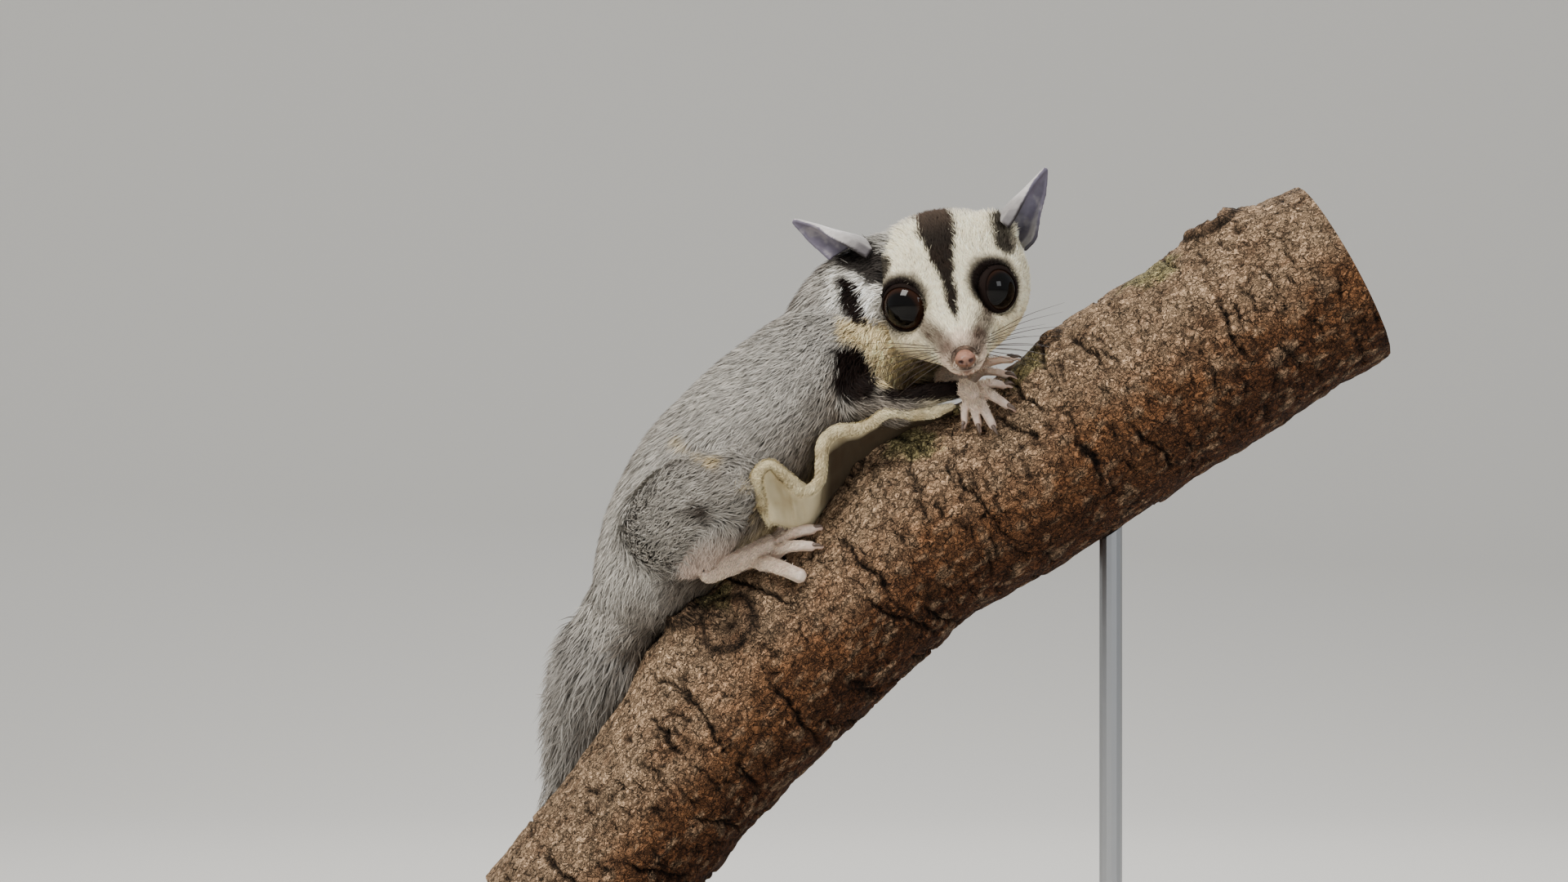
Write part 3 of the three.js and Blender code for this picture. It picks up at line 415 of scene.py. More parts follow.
def face_colours(p, soft, fine):
    local = to_head(p)
    across, ahead, up = np.abs(local[:, 0]), local[:, 1], local[:, 2]
    face = mix(C["cream"], C["silver"], smooth(-1, -9, ahead + soft) * 0.8)
    face = mix(face, C["buff"], smooth(5, 11, -up) * (1 - smooth(13, 18, ahead)) * 0.6)
    face = mix(face, C["grey"], smooth(0.2, 0.9, fine) * 0.16)
    half = np.interp(ahead, HEAD_STRIPE[:, 0], HEAD_STRIPE[:, 1]) + 0.3 * fine
    on_top = smooth(-5, 0, up + 0.45 * ahead) * (ahead < 18)
    dark = mix(C["stripe"], C["soot"], smooth(-7, 5, ahead + 1.2 * soft))
    dark = mix(dark, C["dark_brown"], smooth(-0.2, 0.7, fine) * smooth(0, 10, ahead) * 0.4)
    stripe = (1 - smooth(half - 0.5, half + 0.3, across)) * on_top
    face = mix(face, dark, stripe * 0.99)
    muzzle = smooth(17.5, 21.5, ahead)
    face = mix(face, C["pink"], muzzle * 0.7)
    mouth = bump(up, -11.9, 0.25, 0.5) * smooth(14.5, 16.5, ahead)
    face = mix(face, C["deep_pink"], mouth * 0.8)
    for sign in (-1, 1):
        # The smudge towards the nose, and the line to the ear.
        smudge = near_line(local, (sign * 5.9, 14.0, -4.6), (sign * 3.0, 21.8, -7.3), 0.7, 2.3)
        face = mix(face, C["smudge"], smudge * (0.85 + 0.15 * fine))
        to_ear = near_line(local, (sign * 10.6, 5.5, 0.5), (sign * 12.8, 0.5, 3.4), 0.8, 1.1)
        face = mix(face, C["dark_brown"], to_ear * 0.75)
        _, out, off = from_eye(p, sign)
        left, up_shift = RING_SHIFTS[sign]
        from_ring = np.linalg.norm(off - left * LEFT - up_shift * UP, axis=1)
        ring = (1 - smooth(5.2, 6.5, from_ring + 0.3 * fine)) * (out > -1.5)
        face = mix(face, C["dark_brown"], ring * 0.8)
        inner = (1 - smooth(4.7, 5.6, from_ring)) * (out > -1.5)
        face = mix(face, C["soot"], inner)
    return face


def coat_colour(p, chart):
    """The colour of the coat at points in the pose's millimetres, as linear RGB."""
    spine, _ = spline(SPINE, 60)
    d = np.full(len(p), 1e9)
    height = np.zeros(len(p))
    for q in spine:
        here = np.linalg.norm(p - q, axis=1)
        closer = here < d
        d[closer] = here[closer]
        height[closer] = (p[closer] - q) @ unit(np.array([-0.68, 0, 0.73]))
    soft = layered(p / 7.0, 3)
    fine = layered(p / 1.6, 9)
    body = body_colours(p, height, soft, fine)
    # Paler higher up: partly the coat's own tone, partly painted light from above.
    leg = mix(C["warm_grey"], C["silver"], smooth(-14, 0, height + 4 * soft) * 0.85)
    leg = mix(leg, C["brown_grey"], smooth(0.0, 0.8, layered(p / 5.0, 61)) * 0.25)
    for a, b in zip(THIGH_FOLD, THIGH_FOLD[1:]):
        fold = near_line(p, a, b, 0.9, 0.9) * 0.4
        leg, body = mix(leg, C["buff"], fold), mix(body, C["buff"], fold)
    # Painted shade in the crease between the thigh and the shank.
    for a, b in zip(THIGH_CREASE_SHADE, THIGH_CREASE_SHADE[1:]):
        leg = mix(leg, C["dark_brown"], near_line(p, a, b, 0.5, 1.6) * 0.7)
    shank = mix(leg, C["pink"], smooth(-15, -22, p[:, 2]) * 0.6)
    arm = mix(leg, C["membrane"], smooth(22, 30, p[:, 0]) * 0.6)
    charts = {
        "body": body,
        "tail": tail_colours(p, soft),
        "head": face_colours(p, soft, fine),
        "arm": arm,
        "forearm": arm,
        "leg": leg,
        "shank": shank,
    }
    kinds = KINDS[chart]
    out = body
    for kind, colour in charts.items():
        out = np.where((kinds == kind)[:, None], colour, out)
    behind_face = 1 - smooth(-1.0, 3.0, to_head(p)[:, 1]) * (chart == 2)
    on_side = smooth(3, 7, np.abs(p[:, 1] - 2)) * behind_face
    jag = 0.5 * fine
    # The neck's patches, with the painted shade below the ruff and the painted shadow under the chin.
    for name, outline, edge, strength in NECK_PATCHES_AND_SHADE:
        out = mix(out, C[name], within(outline, p[:, 0] + jag, p[:, 2] + jag, edge) * strength * on_side)
    local = to_head(p)
    for a, b, radius in EAR_ROOTS:
        out = mix(out, C["soot"], near_line(local, a, b, radius, 1.2) * 0.95)
    return out


# Meshes.
def add_object(name, data):
    obj = bpy.data.objects.new(name, data)
    bpy.context.scene.collection.objects.link(obj)
    return obj


def add_mesh(name, verts, faces, material, colours=None):
    """A piece from points in the pose's millimetres, with colours at its points if given."""
    mesh = bpy.data.meshes.new(name)
    verts = (np.asarray(verts, float) + CHEST) / 1000
    faces = np.asarray(faces, np.int32)
    sides = faces.shape[1]
    mesh.vertices.add(len(verts))
    mesh.vertices.foreach_set("co", verts.astype(np.float32).ravel())
    mesh.loops.add(faces.size)
    mesh.loops.foreach_set("vertex_index", faces.ravel())
    mesh.polygons.add(len(faces))
    mesh.polygons.foreach_set("loop_start", np.arange(0, faces.size, sides, dtype=np.int32))
    mesh.update(calc_edges=True)
    mesh.validate()
    mesh.polygons.foreach_set("use_smooth", np.ones(len(mesh.polygons), bool))
    if colours is not None:
        layer = mesh.color_attributes.new("tint", "FLOAT_COLOR", "POINT")
        rgba = np.concatenate([np.clip(colours, 0, 1), np.ones((len(colours), 1))], axis=1)
        layer.data.foreach_set("color", rgba.astype(np.float32).ravel())
    mesh.materials.append(material)
    return add_object(name, mesh)


def read_values(collection, key, width, kind=np.float32):
    values = np.zeros(len(collection) * width, kind)
    collection.foreach_get(key, values)
    return values.reshape(-1, width)


def node_mesh(name):
    """A CAD node's points in the pose's millimetres, with equal points merged, and its triangles."""
    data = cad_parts[name].data
    data.calc_loop_triangles()
    tris = read_values(data.loop_triangles, "vertices", 3, np.int32)
    places = np.round(read_values(data.vertices, "co", 3) * 1000, 3)
    points, inverse = np.unique(places, axis=0, return_inverse=True)
    faces = inverse.reshape(-1)[tris]
    ok = (faces[:, 0] != faces[:, 1]) & (faces[:, 1] != faces[:, 2]) & (faces[:, 0] != faces[:, 2])
    return points - CHEST, faces[ok]


def point_normals(verts, faces):
    a, b, c = verts[faces[:, 0]], verts[faces[:, 1]], verts[faces[:, 2]]
    area = np.cross(b - a, c - a)
    out = np.zeros_like(verts)
    for k in range(faces.shape[1]):
        for axis in range(3):
            out[:, axis] += np.bincount(faces[:, k], area[:, axis], len(verts))
    return unit(out)


RELAX_STRENGTH = 0.6


def relaxed(verts, faces, rounds):
    """The points after rounds of moving each towards its neighbours' middle."""
    sides = faces.shape[1]
    edges = np.concatenate([faces[:, [k, (k + 1) % sides]] for k in range(sides)])
    edges = np.concatenate([edges, edges[:, ::-1]])
    count = np.maximum(np.bincount(edges[:, 0], minlength=len(verts)), 1)
    for _ in range(rounds):
        middle = np.stack(
            [np.bincount(edges[:, 0], verts[edges[:, 1], k], len(verts)) / count for k in range(3)], axis=1
        )
        verts = verts + (middle - verts) * RELAX_STRENGTH
    return verts


def remeshed(names, voxel, swell, rounds, extra=None):
    """One closed skin over CAD nodes: each is swollen to close the gaps, and the whole is relaxed."""
    all_verts, all_faces, base = [], [], 0
    for name in names:
        verts, faces = node_mesh(name)
        all_verts.append(verts + point_normals(verts, faces) * swell)
        all_faces += (faces + base).tolist()
        base += len(verts)
    if extra:
        all_verts.append(extra[0])
        all_faces += [[i + base for i in face] for face in extra[1]]
    mesh = bpy.data.meshes.new("raw")
    mesh.from_pydata(np.concatenate(all_verts).tolist(), [], all_faces)
    obj = add_object("raw", mesh)
    modifier = obj.modifiers.new("skin", "REMESH")
    modifier.mode = "VOXEL"
    modifier.voxel_size = voxel
    made = obj.evaluated_get(bpy.context.evaluated_depsgraph_get()).to_mesh()
    verts = read_values(made.vertices, "co", 3).astype(float)
    faces = read_values(made.loops, "vertex_index", 1, np.int32).reshape(-1, 4)
    bpy.data.objects.remove(obj)
    return relaxed(verts, faces, rounds), faces


def split(faces):
    """Four-sided faces as triangles."""
    return np.concatenate([faces[:, [0, 1, 2]], faces[:, [0, 2, 3]]])


# Materials.
def set_sockets(node, values):
    for socket, value in values.items():
        node.inputs[socket.replace("_", " ")].default_value = value


def add_node(made, kind, **values):
    """A new node in a material, with values on its sockets."""
    node = made.node_tree.nodes.new(kind)
    set_sockets(node, values)
    return node


def shader_and_link(made):
    return made.node_tree.nodes["Principled BSDF"], made.node_tree.links.new


def material(name, roughness, colour=None, attribute=None, **values):
    """A plain shader, coloured by one colour or by the points' tint."""
    made = bpy.data.materials.new(name)
    made.use_nodes = True
    shader, link = shader_and_link(made)
    set_sockets(shader, {"Roughness": roughness, **values})
    if colour:
        shader.inputs["Base Color"].default_value = (*C[colour], 1)
    if attribute:
        source = add_node(made, "ShaderNodeVertexColor")
        source.layer_name = attribute
        link(source.outputs["Color"], shader.inputs["Base Color"])
    return made


def grained(made, scale, low, high, strength, stretch=(1, 1, 1)):
    """Multiplies a material's colour by noise in object space, and bumps it by the same noise."""
    shader, link = shader_and_link(made)
    where = add_node(made, "ShaderNodeTexCoord")
    mapping = add_node(made, "ShaderNodeMapping", Scale=stretch)
    speckle = add_node(made, "ShaderNodeTexNoise", Scale=scale, Detail=4.0)
    ramp = add_node(made, "ShaderNodeMapRange", From_Min=0.3, From_Max=0.7, To_Min=low, To_Max=high)
    link(where.outputs["Object"], mapping.inputs["Vector"])
    link(mapping.outputs["Vector"], speckle.inputs["Vector"])
    link(speckle.outputs["Fac"], ramp.inputs["Value"])
    blend = add_node(made, "ShaderNodeMix")
    blend.data_type = "RGBA"
    blend.blend_type = "MULTIPLY"
    blend.inputs["Factor"].default_value = 1.0
    colour, normal = shader.inputs["Base Color"], shader.inputs["Normal"]
    if colour.links:
        link(colour.links[0].from_socket, blend.inputs["A"])
    else:
        blend.inputs["A"].default_value = colour.default_value
    link(ramp.outputs["Result"], blend.inputs["B"])
    link(blend.outputs["Result"], colour)
    raised = add_node(made, "ShaderNodeBump", Strength=strength, Distance=0.0003)
    link(speckle.outputs["Fac"], raised.inputs["Height"])
    if normal.links:
        link(normal.links[0].from_socket, raised.inputs["Normal"])
    link(raised.outputs["Normal"], normal)
    return made


def chipped(made, layers):
    """Bark chips over a material, in bent cells laid out along the branch."""
    shader, link = shader_and_link(made)
    place = add_node(made, "ShaderNodeAttribute")
    place.attribute_name = "grain"
    warp = add_node(made, "ShaderNodeTexNoise", Scale=0.8)
    link(place.outputs["Vector"], warp.inputs["Vector"])
    bent = add_node(made, "ShaderNodeVectorMath")
    bent.operation = "MULTIPLY_ADD"
    bent.inputs[1].default_value = (2.8, 2.8, 2.8)
    link(warp.outputs["Color"], bent.inputs[0])
    link(place.outputs["Vector"], bent.inputs[2])
    tone = shader.inputs["Base Color"].links[0].from_socket
    normal = None
    for length, width, gap, spread, height in layers:
        mapping = add_node(made, "ShaderNodeMapping", Scale=(1 / length, 1 / width, 1 / width))
        link(bent.outputs["Vector"], mapping.inputs["Vector"])
        edge = add_node(made, "ShaderNodeTexVoronoi", Scale=1.0)
        edge.feature = "DISTANCE_TO_EDGE"
        cell = add_node(made, "ShaderNodeTexVoronoi", Scale=1.0)
        for cells in (edge, cell):
            link(mapping.outputs["Vector"], cells.inputs["Vector"])
        # The chips are darker at their edges: partly the bark's own colour, partly painted shade in the
        # gaps between them.
        rise = add_node(made, "ShaderNodeMapRange", From_Max=gap, To_Min=0.3)
        link(edge.outputs["Distance"], rise.inputs["Value"])
        shade = add_node(made, "ShaderNodeMapRange", To_Min=1 - spread, To_Max=1 + spread)
        link(cell.outputs["Color"], shade.inputs["Value"])
        both = add_node(made, "ShaderNodeMath")
        both.operation = "MULTIPLY"
        link(rise.outputs["Result"], both.inputs[0])
        link(shade.outputs["Result"], both.inputs[1])
        scaled = add_node(made, "ShaderNodeVectorMath")
        scaled.operation = "SCALE"
        link(tone, scaled.inputs[0])
        link(both.outputs["Value"], scaled.inputs["Scale"])
        tone = scaled.outputs["Vector"]
        raised = add_node(made, "ShaderNodeBump", Strength=0.8, Distance=height)
        link(both.outputs["Value"], raised.inputs["Height"])
        if normal:
            link(normal, raised.inputs["Normal"])
        normal = raised.outputs["Normal"]
    link(tone, shader.inputs["Base Color"])
    link(normal, shader.inputs["Normal"])
    return made


# Each layer of bark chips: a chip's length and width, the gap round it, its spread of shade and its height.
BARK_CHIPS = [
    (3.4, 5.2, 0.04, 0.14, 0.0004),
    (2.6, 1.0, 0.14, 0.38, 0.0004),
    (0.9, 0.5, 0.14, 0.16, 0.0002),
]
FUR = material("fur", 0.68, attribute="tint", Specular_IOR_Level=0.12)
UNDERFUR = material("underfur", 0.9, attribute="tint", Specular_IOR_Level=0.1)
BARE = grained(material("bare_skin", 0.5, attribute="tint", Subsurface_Weight=0.15), 1400, 0.88, 1.08, 0.3)
EAR_SKIN = grained(material("ear_skin", 0.6, attribute="tint"), 900, 0.85, 1.1, 0.2)
NOSE_SKIN = grained(material("nose_skin", 0.36, attribute="tint"), 2200, 0.85, 1.08, 0.4)
GLOSS = {"Specular_IOR_Level": 0.0, "Coat_Weight": 0.7, "Coat_Roughness": 0.01, "Coat_IOR": 1.34}
EYE_SURFACE = material("eye_surface", 0.05, attribute="tint", **GLOSS)
LID_SKIN = material("lid_skin", 0.8, colour="soot", Specular_IOR_Level=0.12)
HORN_SHEATH = material("horn", 0.35, colour="horn")
WHISKER = material("whisker", 0.4, colour="dark_brown")
BARK = chipped(material("bark", 0.9, attribute="tint", Specular_IOR_Level=0.15), BARK_CHIPS)
grained(BARK, 1500, 0.75, 1.25, 0.5)
END_GRAIN = grained(material("end_grain", 0.8, attribute="tint"), 1200, 0.85, 1.1, 0.3)
PLINTH = material("plinth", 0.38, colour="plinth", Coat_Weight=0.3)
grained(PLINTH, 60, 0.55, 1.35, 0.05, stretch=(1, 9, 9))
STEEL = material("steel", 0.28, colour="steel", Metallic=1.0)


def keep(obj, slot, *nodes):
    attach(obj, "root")
    if nodes:
        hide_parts(*nodes)
    return obj


def sweep(rows):
    """Points and quads between equally long closed loops of points."""
    index = np.arange(rows.shape[0] * rows.shape[1]).reshape(rows.shape[:2])
    turned = np.roll(index, -1, axis=1)
    quads = np.stack([index[:-1], turned[:-1], turned[1:], index[1:]], axis=-1)
    return rows.reshape(-1, 3), quads.reshape(-1, 4)


def tube(points, radii, sides, steps=9):
    """A tube with open ends, along points whose radius follows radii."""
    line, tangent = spline(np.column_stack([points, radii]), steps)
    side = unit(np.cross(tangent, np.array([0.3, 0.2, 0.93])))
    other = np.cross(tangent, side)
    angles = 2 * math.pi * np.arange(sides) / sides
    radius = line[:, 3][:, None, None]
    rings = (
        line[:, None, :3]
        + side[:, None] * (np.cos(angles)[None, :, None] * radius)
        + other[:, None] * (np.sin(angles)[None, :, None] * radius)
    )
    return sweep(rings)


# The skin under the coat. The tail's is its fleshy core, from inside the rump to the tip.
FLESH = ["torso", "neck", "head"]
FLESH += [f"{part}_{side}" for part in ("thigh", "shank") for side in ("right", "left")]
FLESH += [f"foreleg_{side}_{part}" for part in ("upper", "lower") for side in ("right", "left")]
TAIL_NODES = [f"tail_{i}" for i in (1, 2, 3, 4)]
TAIL_RADII = np.array([8.6, 7.3, 6.2, 5.8, 5.4, 5.3, 5.3, 5.4, 5.5, 5.4, 5.0, 4.2, 2.2])
SWELL = 0.25
inside_rump = np.array([-25.5, 2, -24.5])
CORE_SIDES, CORE_STEPS = 24, 90
core_line = np.vstack([inside_rump, TAIL])
core_verts, core_faces = tube(core_line, np.append(7.6, TAIL_RADII), CORE_SIDES, CORE_STEPS)
first_end = list(range(CORE_SIDES))[::-1]
last_end = list(range((CORE_STEPS - 1) * CORE_SIDES, CORE_STEPS * CORE_SIDES))
core = (core_verts, core_faces.tolist() + [first_end, last_end])
skin_verts, skin_faces = remeshed(FLESH, 0.6, SWELL, 8, extra=core)
skin_tris = split(skin_faces)
skin_normals = point_normals(skin_verts, skin_tris)
_, skin_numbers, _, _ = follow(skin_verts)
skin_verts = skin_verts - skin_normals * (skin_numbers[:, 4:] + SWELL)
skin_verts = relaxed(skin_verts, skin_faces, 2)
skin_normals = point_normals(skin_verts, skin_tris)
_, _, skin_chart, _ = follow(skin_verts)
# The skin under the coat is the coat's colour made darker: painted shade inside the fur.
UNDERFUR_SHADE = 0.42
skin_tint = coat_colour(skin_verts, skin_chart) * UNDERFUR_SHADE
skin = add_mesh("skin", skin_verts, skin_faces, UNDERFUR, skin_tint)
keep(skin, "fur", *FLESH, *TAIL_NODES)

# The coat: bent, tapered blades that lie along the body in clumps.
# Short fur has two segments, long fur three.
# Each blade is painted darker at its root and lighter at its tip: painted shade deep in the coat and
# painted light on the tips.
SHORT = {
    "shares": (0.0, 0.5, 1.0),
    "widths": (0.8, 0.9),
    "lift": (44, 14),
    "tris": ((0, 1, 3), (0, 3, 2), (2, 3, 4)),
    "painted_shading": (0.5, 0.5, 0.92, 0.92, 1.14),
    "patch": ((-0.5, 0), (0.5, 0), (-0.5, 0.5), (0.5, 0.5), (0, 1)),
}
LONG = {
    "shares": (0.0, 0.36, 0.7, 1.0),
    "widths": (0.75, 1.0, 0.62),
    "lift": (52, 32, 14),
    "tris": ((0, 1, 3), (0, 3, 2), (2, 3, 5), (2, 5, 4), (4, 5, 6)),
    "painted_shading": (0.5, 0.5, 0.86, 0.86, 1.05, 1.05, 1.16),
    "patch": ((-0.5, 0), (0.5, 0), (-0.5, 0.4), (0.5, 0.4), (-0.4, 0.8), (0.4, 0.8), (0, 1)),
}
# How far the blades are ruffled, how much skin a clump takes in square millimetres, and how far it draws
# its blades together.
RUFFLE = 0.25
CLUMP_SIZE = 2.2
CLUMP_PULL = 0.42
PATCH = 0.003
CHARTS = {0: (0.0, 0.3), 1: (0.3, 0.52), 2: (0.52, 0.8)}
LIMB_CHARTS = 0.8
CHART_STEPS = 40
MOST_TRIS = 190000


def chart_place(p, chart, place):
    """Where each root lies on the unwrap of the skin: one strip for each line, along it and round it."""
    uv = np.zeros((len(p), 2))
    for index, (points, _, _) in enumerate(LINES):
        mine = chart == index
        if not mine.any():
            continue
        line, tangent = spline(points, CHART_STEPS)
        at = np.clip((place[mine] * (CHART_STEPS - 1)).astype(int), 0, CHART_STEPS - 1)
        offset = p[mine] - line[at]
        side = unit(np.cross(tangent[at], np.array([0.0, -1.0, 0.02])))
        other = np.cross(tangent[at], side)
        angle = np.arctan2((offset * side).sum(1), (offset * other).sum(1)) / (2 * math.pi) + 0.5
        reach = (offset * tangent[at]).sum(1) / 200
        if index in CHARTS:
            low, high = CHARTS[index]
        else:
            width = (1 - LIMB_CHARTS) / (len(LINES) - 3)
            low = LIMB_CHARTS + (index - 3) * width
            high = low + width * 0.96
        uv[mine, 0] = np.clip(0.02 + 0.95 * place[mine] + reach, 0.005, 0.99)
        uv[mine, 1] = low + 0.004 + (high - low - 0.012) * angle
    return uv


def scatter(verts, faces, normals, density):
    """Roots on a skin at so many for each square millimetre: their points and normals."""
    a, b, c = verts[faces[:, 0]], verts[faces[:, 1]], verts[faces[:, 2]]
    area = np.linalg.norm(np.cross(b - a, c - a), axis=1) / 2
    expected = area * density
    total = int(expected.sum())
    edges = np.cumsum(expected) / expected.sum()
    pick = np.searchsorted(edges, (np.arange(total) + rng.random(total)) / total)
    pick = np.clip(pick, 0, len(faces) - 1)
    r1, r2 = np.sqrt(rng.random(total)), rng.random(total)
    w = np.stack([1 - r1, r1 * (1 - r2), r1 * r2], axis=1)
    corners = faces[pick]
    p = (verts[corners] * w[:, :, None]).sum(1)
    n = unit((normals[corners] * w[:, :, None]).sum(1))
    return p, n


def clumps(p, cover):
    """For each root: the nearest clump's heart, and the clump's own shade."""
    seeds = rng.permutation(len(p))[: max(1, int(len(p) / (cover * CLUMP_SIZE)))]
    tree = KDTree(len(seeds))
    for i, seed in enumerate(seeds):
        tree.insert(p[seed], i)
    tree.balance()
    clump = np.array([tree.find(q)[1] for q in p])
    return p[seeds][clump], 1 + 0.1 * rng.normal(size=len(seeds))[clump]


def blades(form, p, n, ways, numbers, colours, grizzle):
    """Blades rooted at p: their points, and the colours at them."""
    count = len(p)
    length = numbers[:, 1] * (0.75 + 0.5 * rng.random(count))
    width = numbers[:, 2] * (0.8 + 0.4 * rng.random(count))
    turn = ways + RUFFLE * rng.normal(size=(count, 3))
    turn += 0.2 * np.stack([layered(p / 5.0, seed) for seed in (21, 31, 41)], axis=1)
    turn = unit(turn - (turn * n).sum(1)[:, None] * n)
    heart, clump_shade = clumps(p, numbers[:, 3].mean())
    rise = np.clip(numbers[:, 0] / numbers[:, 1] / 0.4, 0.3, 1.3)
    line = [p]
    for step, degrees in zip(np.diff(form["shares"]), form["lift"]):
        angle = np.radians(degrees) * rise
        ahead = turn * np.cos(angle)[:, None] + n * np.sin(angle)[:, None]
        line.append(line[-1] + ahead * (length * step)[:, None])
    shift = (heart - p) * CLUMP_PULL * (0.6 + 0.4 * rng.random(count))[:, None]
    line = [q + shift * share**1.4 for q, share in zip(line, form["shares"])]
    across = unit(np.cross(turn, n) + 0.35 * rng.normal(size=(count, 3)))
    rows = []
    for q, share in zip(line, form["widths"]):
        half = across * (width * share / 2)[:, None]
        rows += [q - half, q + half]
    verts = np.stack(rows + [line[-1]], axis=1)
    shade = clump_shade * (1 + 0.08 * rng.normal(size=count))
    kind = rng.random(count)
    shade *= 1 - grizzle * (kind < 0.3) + 0.45 * grizzle * (kind > 0.75)
    # Painted shade towards the roots and painted light towards the tips, over each blade's own tone.
    tints = colours[:, None, :] * (shade[:, None] * np.array(form["painted_shading"])[None, :])[:, :, None]
    return verts, tints


def add_coat(name, form, parts, slot, roots):
    """Adds coat pieces under MOST_TRIS triangles each, in the order of their place on the unwrap."""
    verts, tints = parts
    order = np.lexsort((roots[:, 0], np.floor(roots[:, 1] * 12)))
    tris = np.array(form["tris"])
    corners = verts.shape[1]
    pieces = max(1, math.ceil(len(order) * len(tris) / MOST_TRIS))
    for i, mine in enumerate(np.array_split(order, pieces)):
        faces = (tris[None] + corners * np.arange(len(mine))[:, None, None]).reshape(-1, 3)
        points, colours = verts[mine].reshape(-1, 3), tints[mine].reshape(-1, 3)
        piece = add_mesh(f"{name}_{i + 1}", points, faces, FUR, colours)
        layer = piece.data.uv_layers.new(name="OFBake")
        places = roots[mine][:, None, :] + np.array(form["patch"])[None] * PATCH
        index = read_values(piece.data.loops, "vertex_index", 1, np.int32)[:, 0]
        places = np.clip(places, 0, 1).reshape(-1, 2)[index]
        layer.data.foreach_set("uv", places.astype(np.float32).ravel())
        keep(piece, slot)


def grow_coat():
    middles = skin_verts[skin_tris].mean(1)
    _, numbers, _, _ = follow(middles)
    density = numbers[:, 3] / (numbers[:, 1] * numbers[:, 2] * 0.62)
    density *= branch_height(middles) > 0.6
    for sign in (-1, 1):
        away, along, off = from_eye(middles, sign)
        from_middle = np.linalg.norm(away, axis=1)
        aperture = (from_middle < 6.3) & (np.linalg.norm(off, axis=1) < 4.6) & (along > -1)
        density[aperture | (from_middle < 5.3)] = 0
    nose_middle = in_head([0, 24.6, -9.1])
    density[np.linalg.norm(middles - nose_middle, axis=1) < 2.6] = 0
    p, n = scatter(skin_verts, skin_tris, skin_normals, density)
    ways, numbers, chart, place = follow(p)
    colours = coat_colour(p + ways * numbers[:, 1:2] * 0.45, chart)
    roots = chart_place(p, chart, place)
    kinds = KINDS[chart]
    for name, form, grizzle, members in (
        ("body", SHORT, 0.42, ("body",)),
        ("tail", LONG, 0.25, ("tail",)),
        ("head", SHORT, 0.1, ("head",)),
        ("legs", SHORT, 0.34, ("arm", "forearm", "leg", "shank")),
    ):
        mine = np.isin(kinds, members)
        parts = blades(form, p[mine], n[mine], ways[mine], numbers[mine], colours[mine], grizzle=grizzle)
        add_coat(f"coat_{name}", form, parts, "fur", roots[mine])


grow_coat()


# Eyes: dark glossy balls, each behind a sheet of dark lid with an oval opening.
LID = {"inner": 5.04, "outer": 5.26, "swell": 5.36, "reach": 70}
# Half-width and half-height of each opening, in millimetres.
EYE_OPENINGS = {"right": (4.4, 4.15), "left": (3.45, 3.95)}


def eye_frame(axis):
    wide = unit(np.cross(axis, UP))
    return wide, np.cross(wide, axis)


def eyeball(centre, axis, rings=40, around=48):
    """A ball whose pole looks along axis."""
    wide, high = eye_frame(axis)
    polar = np.radians(np.linspace(0.5, 179.5, rings))[:, None, None]
    angle = np.linspace(0, 2 * math.pi, around, endpoint=False)[None, :, None]
    radial = wide * np.cos(angle) + high * np.sin(angle)
    return sweep(centre + EYE["radius"] * (axis * np.cos(polar) + radial * np.sin(polar)))


def lid(centre, axis, opening, around=64):
    """The lid's sheet: an inner face, a rounded edge and an outer face."""
    wide, high = eye_frame(axis)
    angle = np.linspace(0, 2 * math.pi, around, endpoint=False)
    edge = 1 / np.sqrt((np.cos(angle) / opening[0]) ** 2 + (np.sin(angle) / opening[1]) ** 2)
    start = np.degrees(np.arcsin(edge / LID["outer"]))
    radial = wide * np.cos(angle)[:, None] + high * np.sin(angle)[:, None]
    middle = (LID["inner"] + LID["outer"]) / 2
    loops = [
        (np.full(around, LID["reach"]), LID["inner"]),
        (start + 1.5, LID["inner"]),
        (start, middle),
        (start + 2.0, LID["outer"]),
        (start + 7, LID["swell"]),
        (np.maximum(LID["reach"], start + 12), LID["outer"]),
    ]
    rows = []
    for degrees, radius in loops:
        polar = np.radians(degrees)[:, None]
        rows.append(centre + radius * (axis * np.cos(polar) + radial * np.sin(polar)))
    return sweep(np.array(rows))


for sign, side in ((-1, "right"), (1, "left")):
    centre, axis = eye_centre(sign), unit(eye_axis(sign))
    verts, faces = eyeball(centre, axis)
    from_axis = np.arccos(np.clip(unit(verts - centre) @ axis, -1, 1))
    tint = mix(C["pupil"], C["iris"], smooth(0.62, 0.85, from_axis))
    keep(add_mesh(f"eyeball_{side}", verts, faces, EYE_SURFACE, tint), "eye", f"eye_{side}")
    keep(add_mesh(f"lids_{side}", *lid(centre, axis, EYE_OPENINGS[side]), LID_SKIN), "skin")

# The nose, hands, feet and ears keep their CAD forms, rounded.
NOSE_SHARE = 0.82
verts, faces = remeshed(["nose"], 0.14, 0.05, 3)
nose_middle = verts.mean(0)
local = to_head(verts)
tint = mix(C["nose"], C["deep_pink"], smooth(-9.0, -7.6, local[:, 2]) * 0.6)
# Painted shade in the nostrils.
for sign in (-1, 1):
    nostril = np.linalg.norm((local - [sign * 1.15, 25.9, -9.0]) * [1, 0.6, 1.3], axis=1)
    tint = mix(tint, C["nostril"], 1 - smooth(0.35, 0.95, nostril))
# Painted shade in the groove below the nose.
tint = mix(tint, C["nostril"], bump(local[:, 0], 0, 0.1, 0.22) * smooth(-8.9, -9.6, local[:, 2]) * 0.7)
verts = nose_middle + (verts - nose_middle) * NOSE_SHARE
keep(add_mesh("nose_pad", verts, faces, NOSE_SKIN, tint), "skin", "nose")

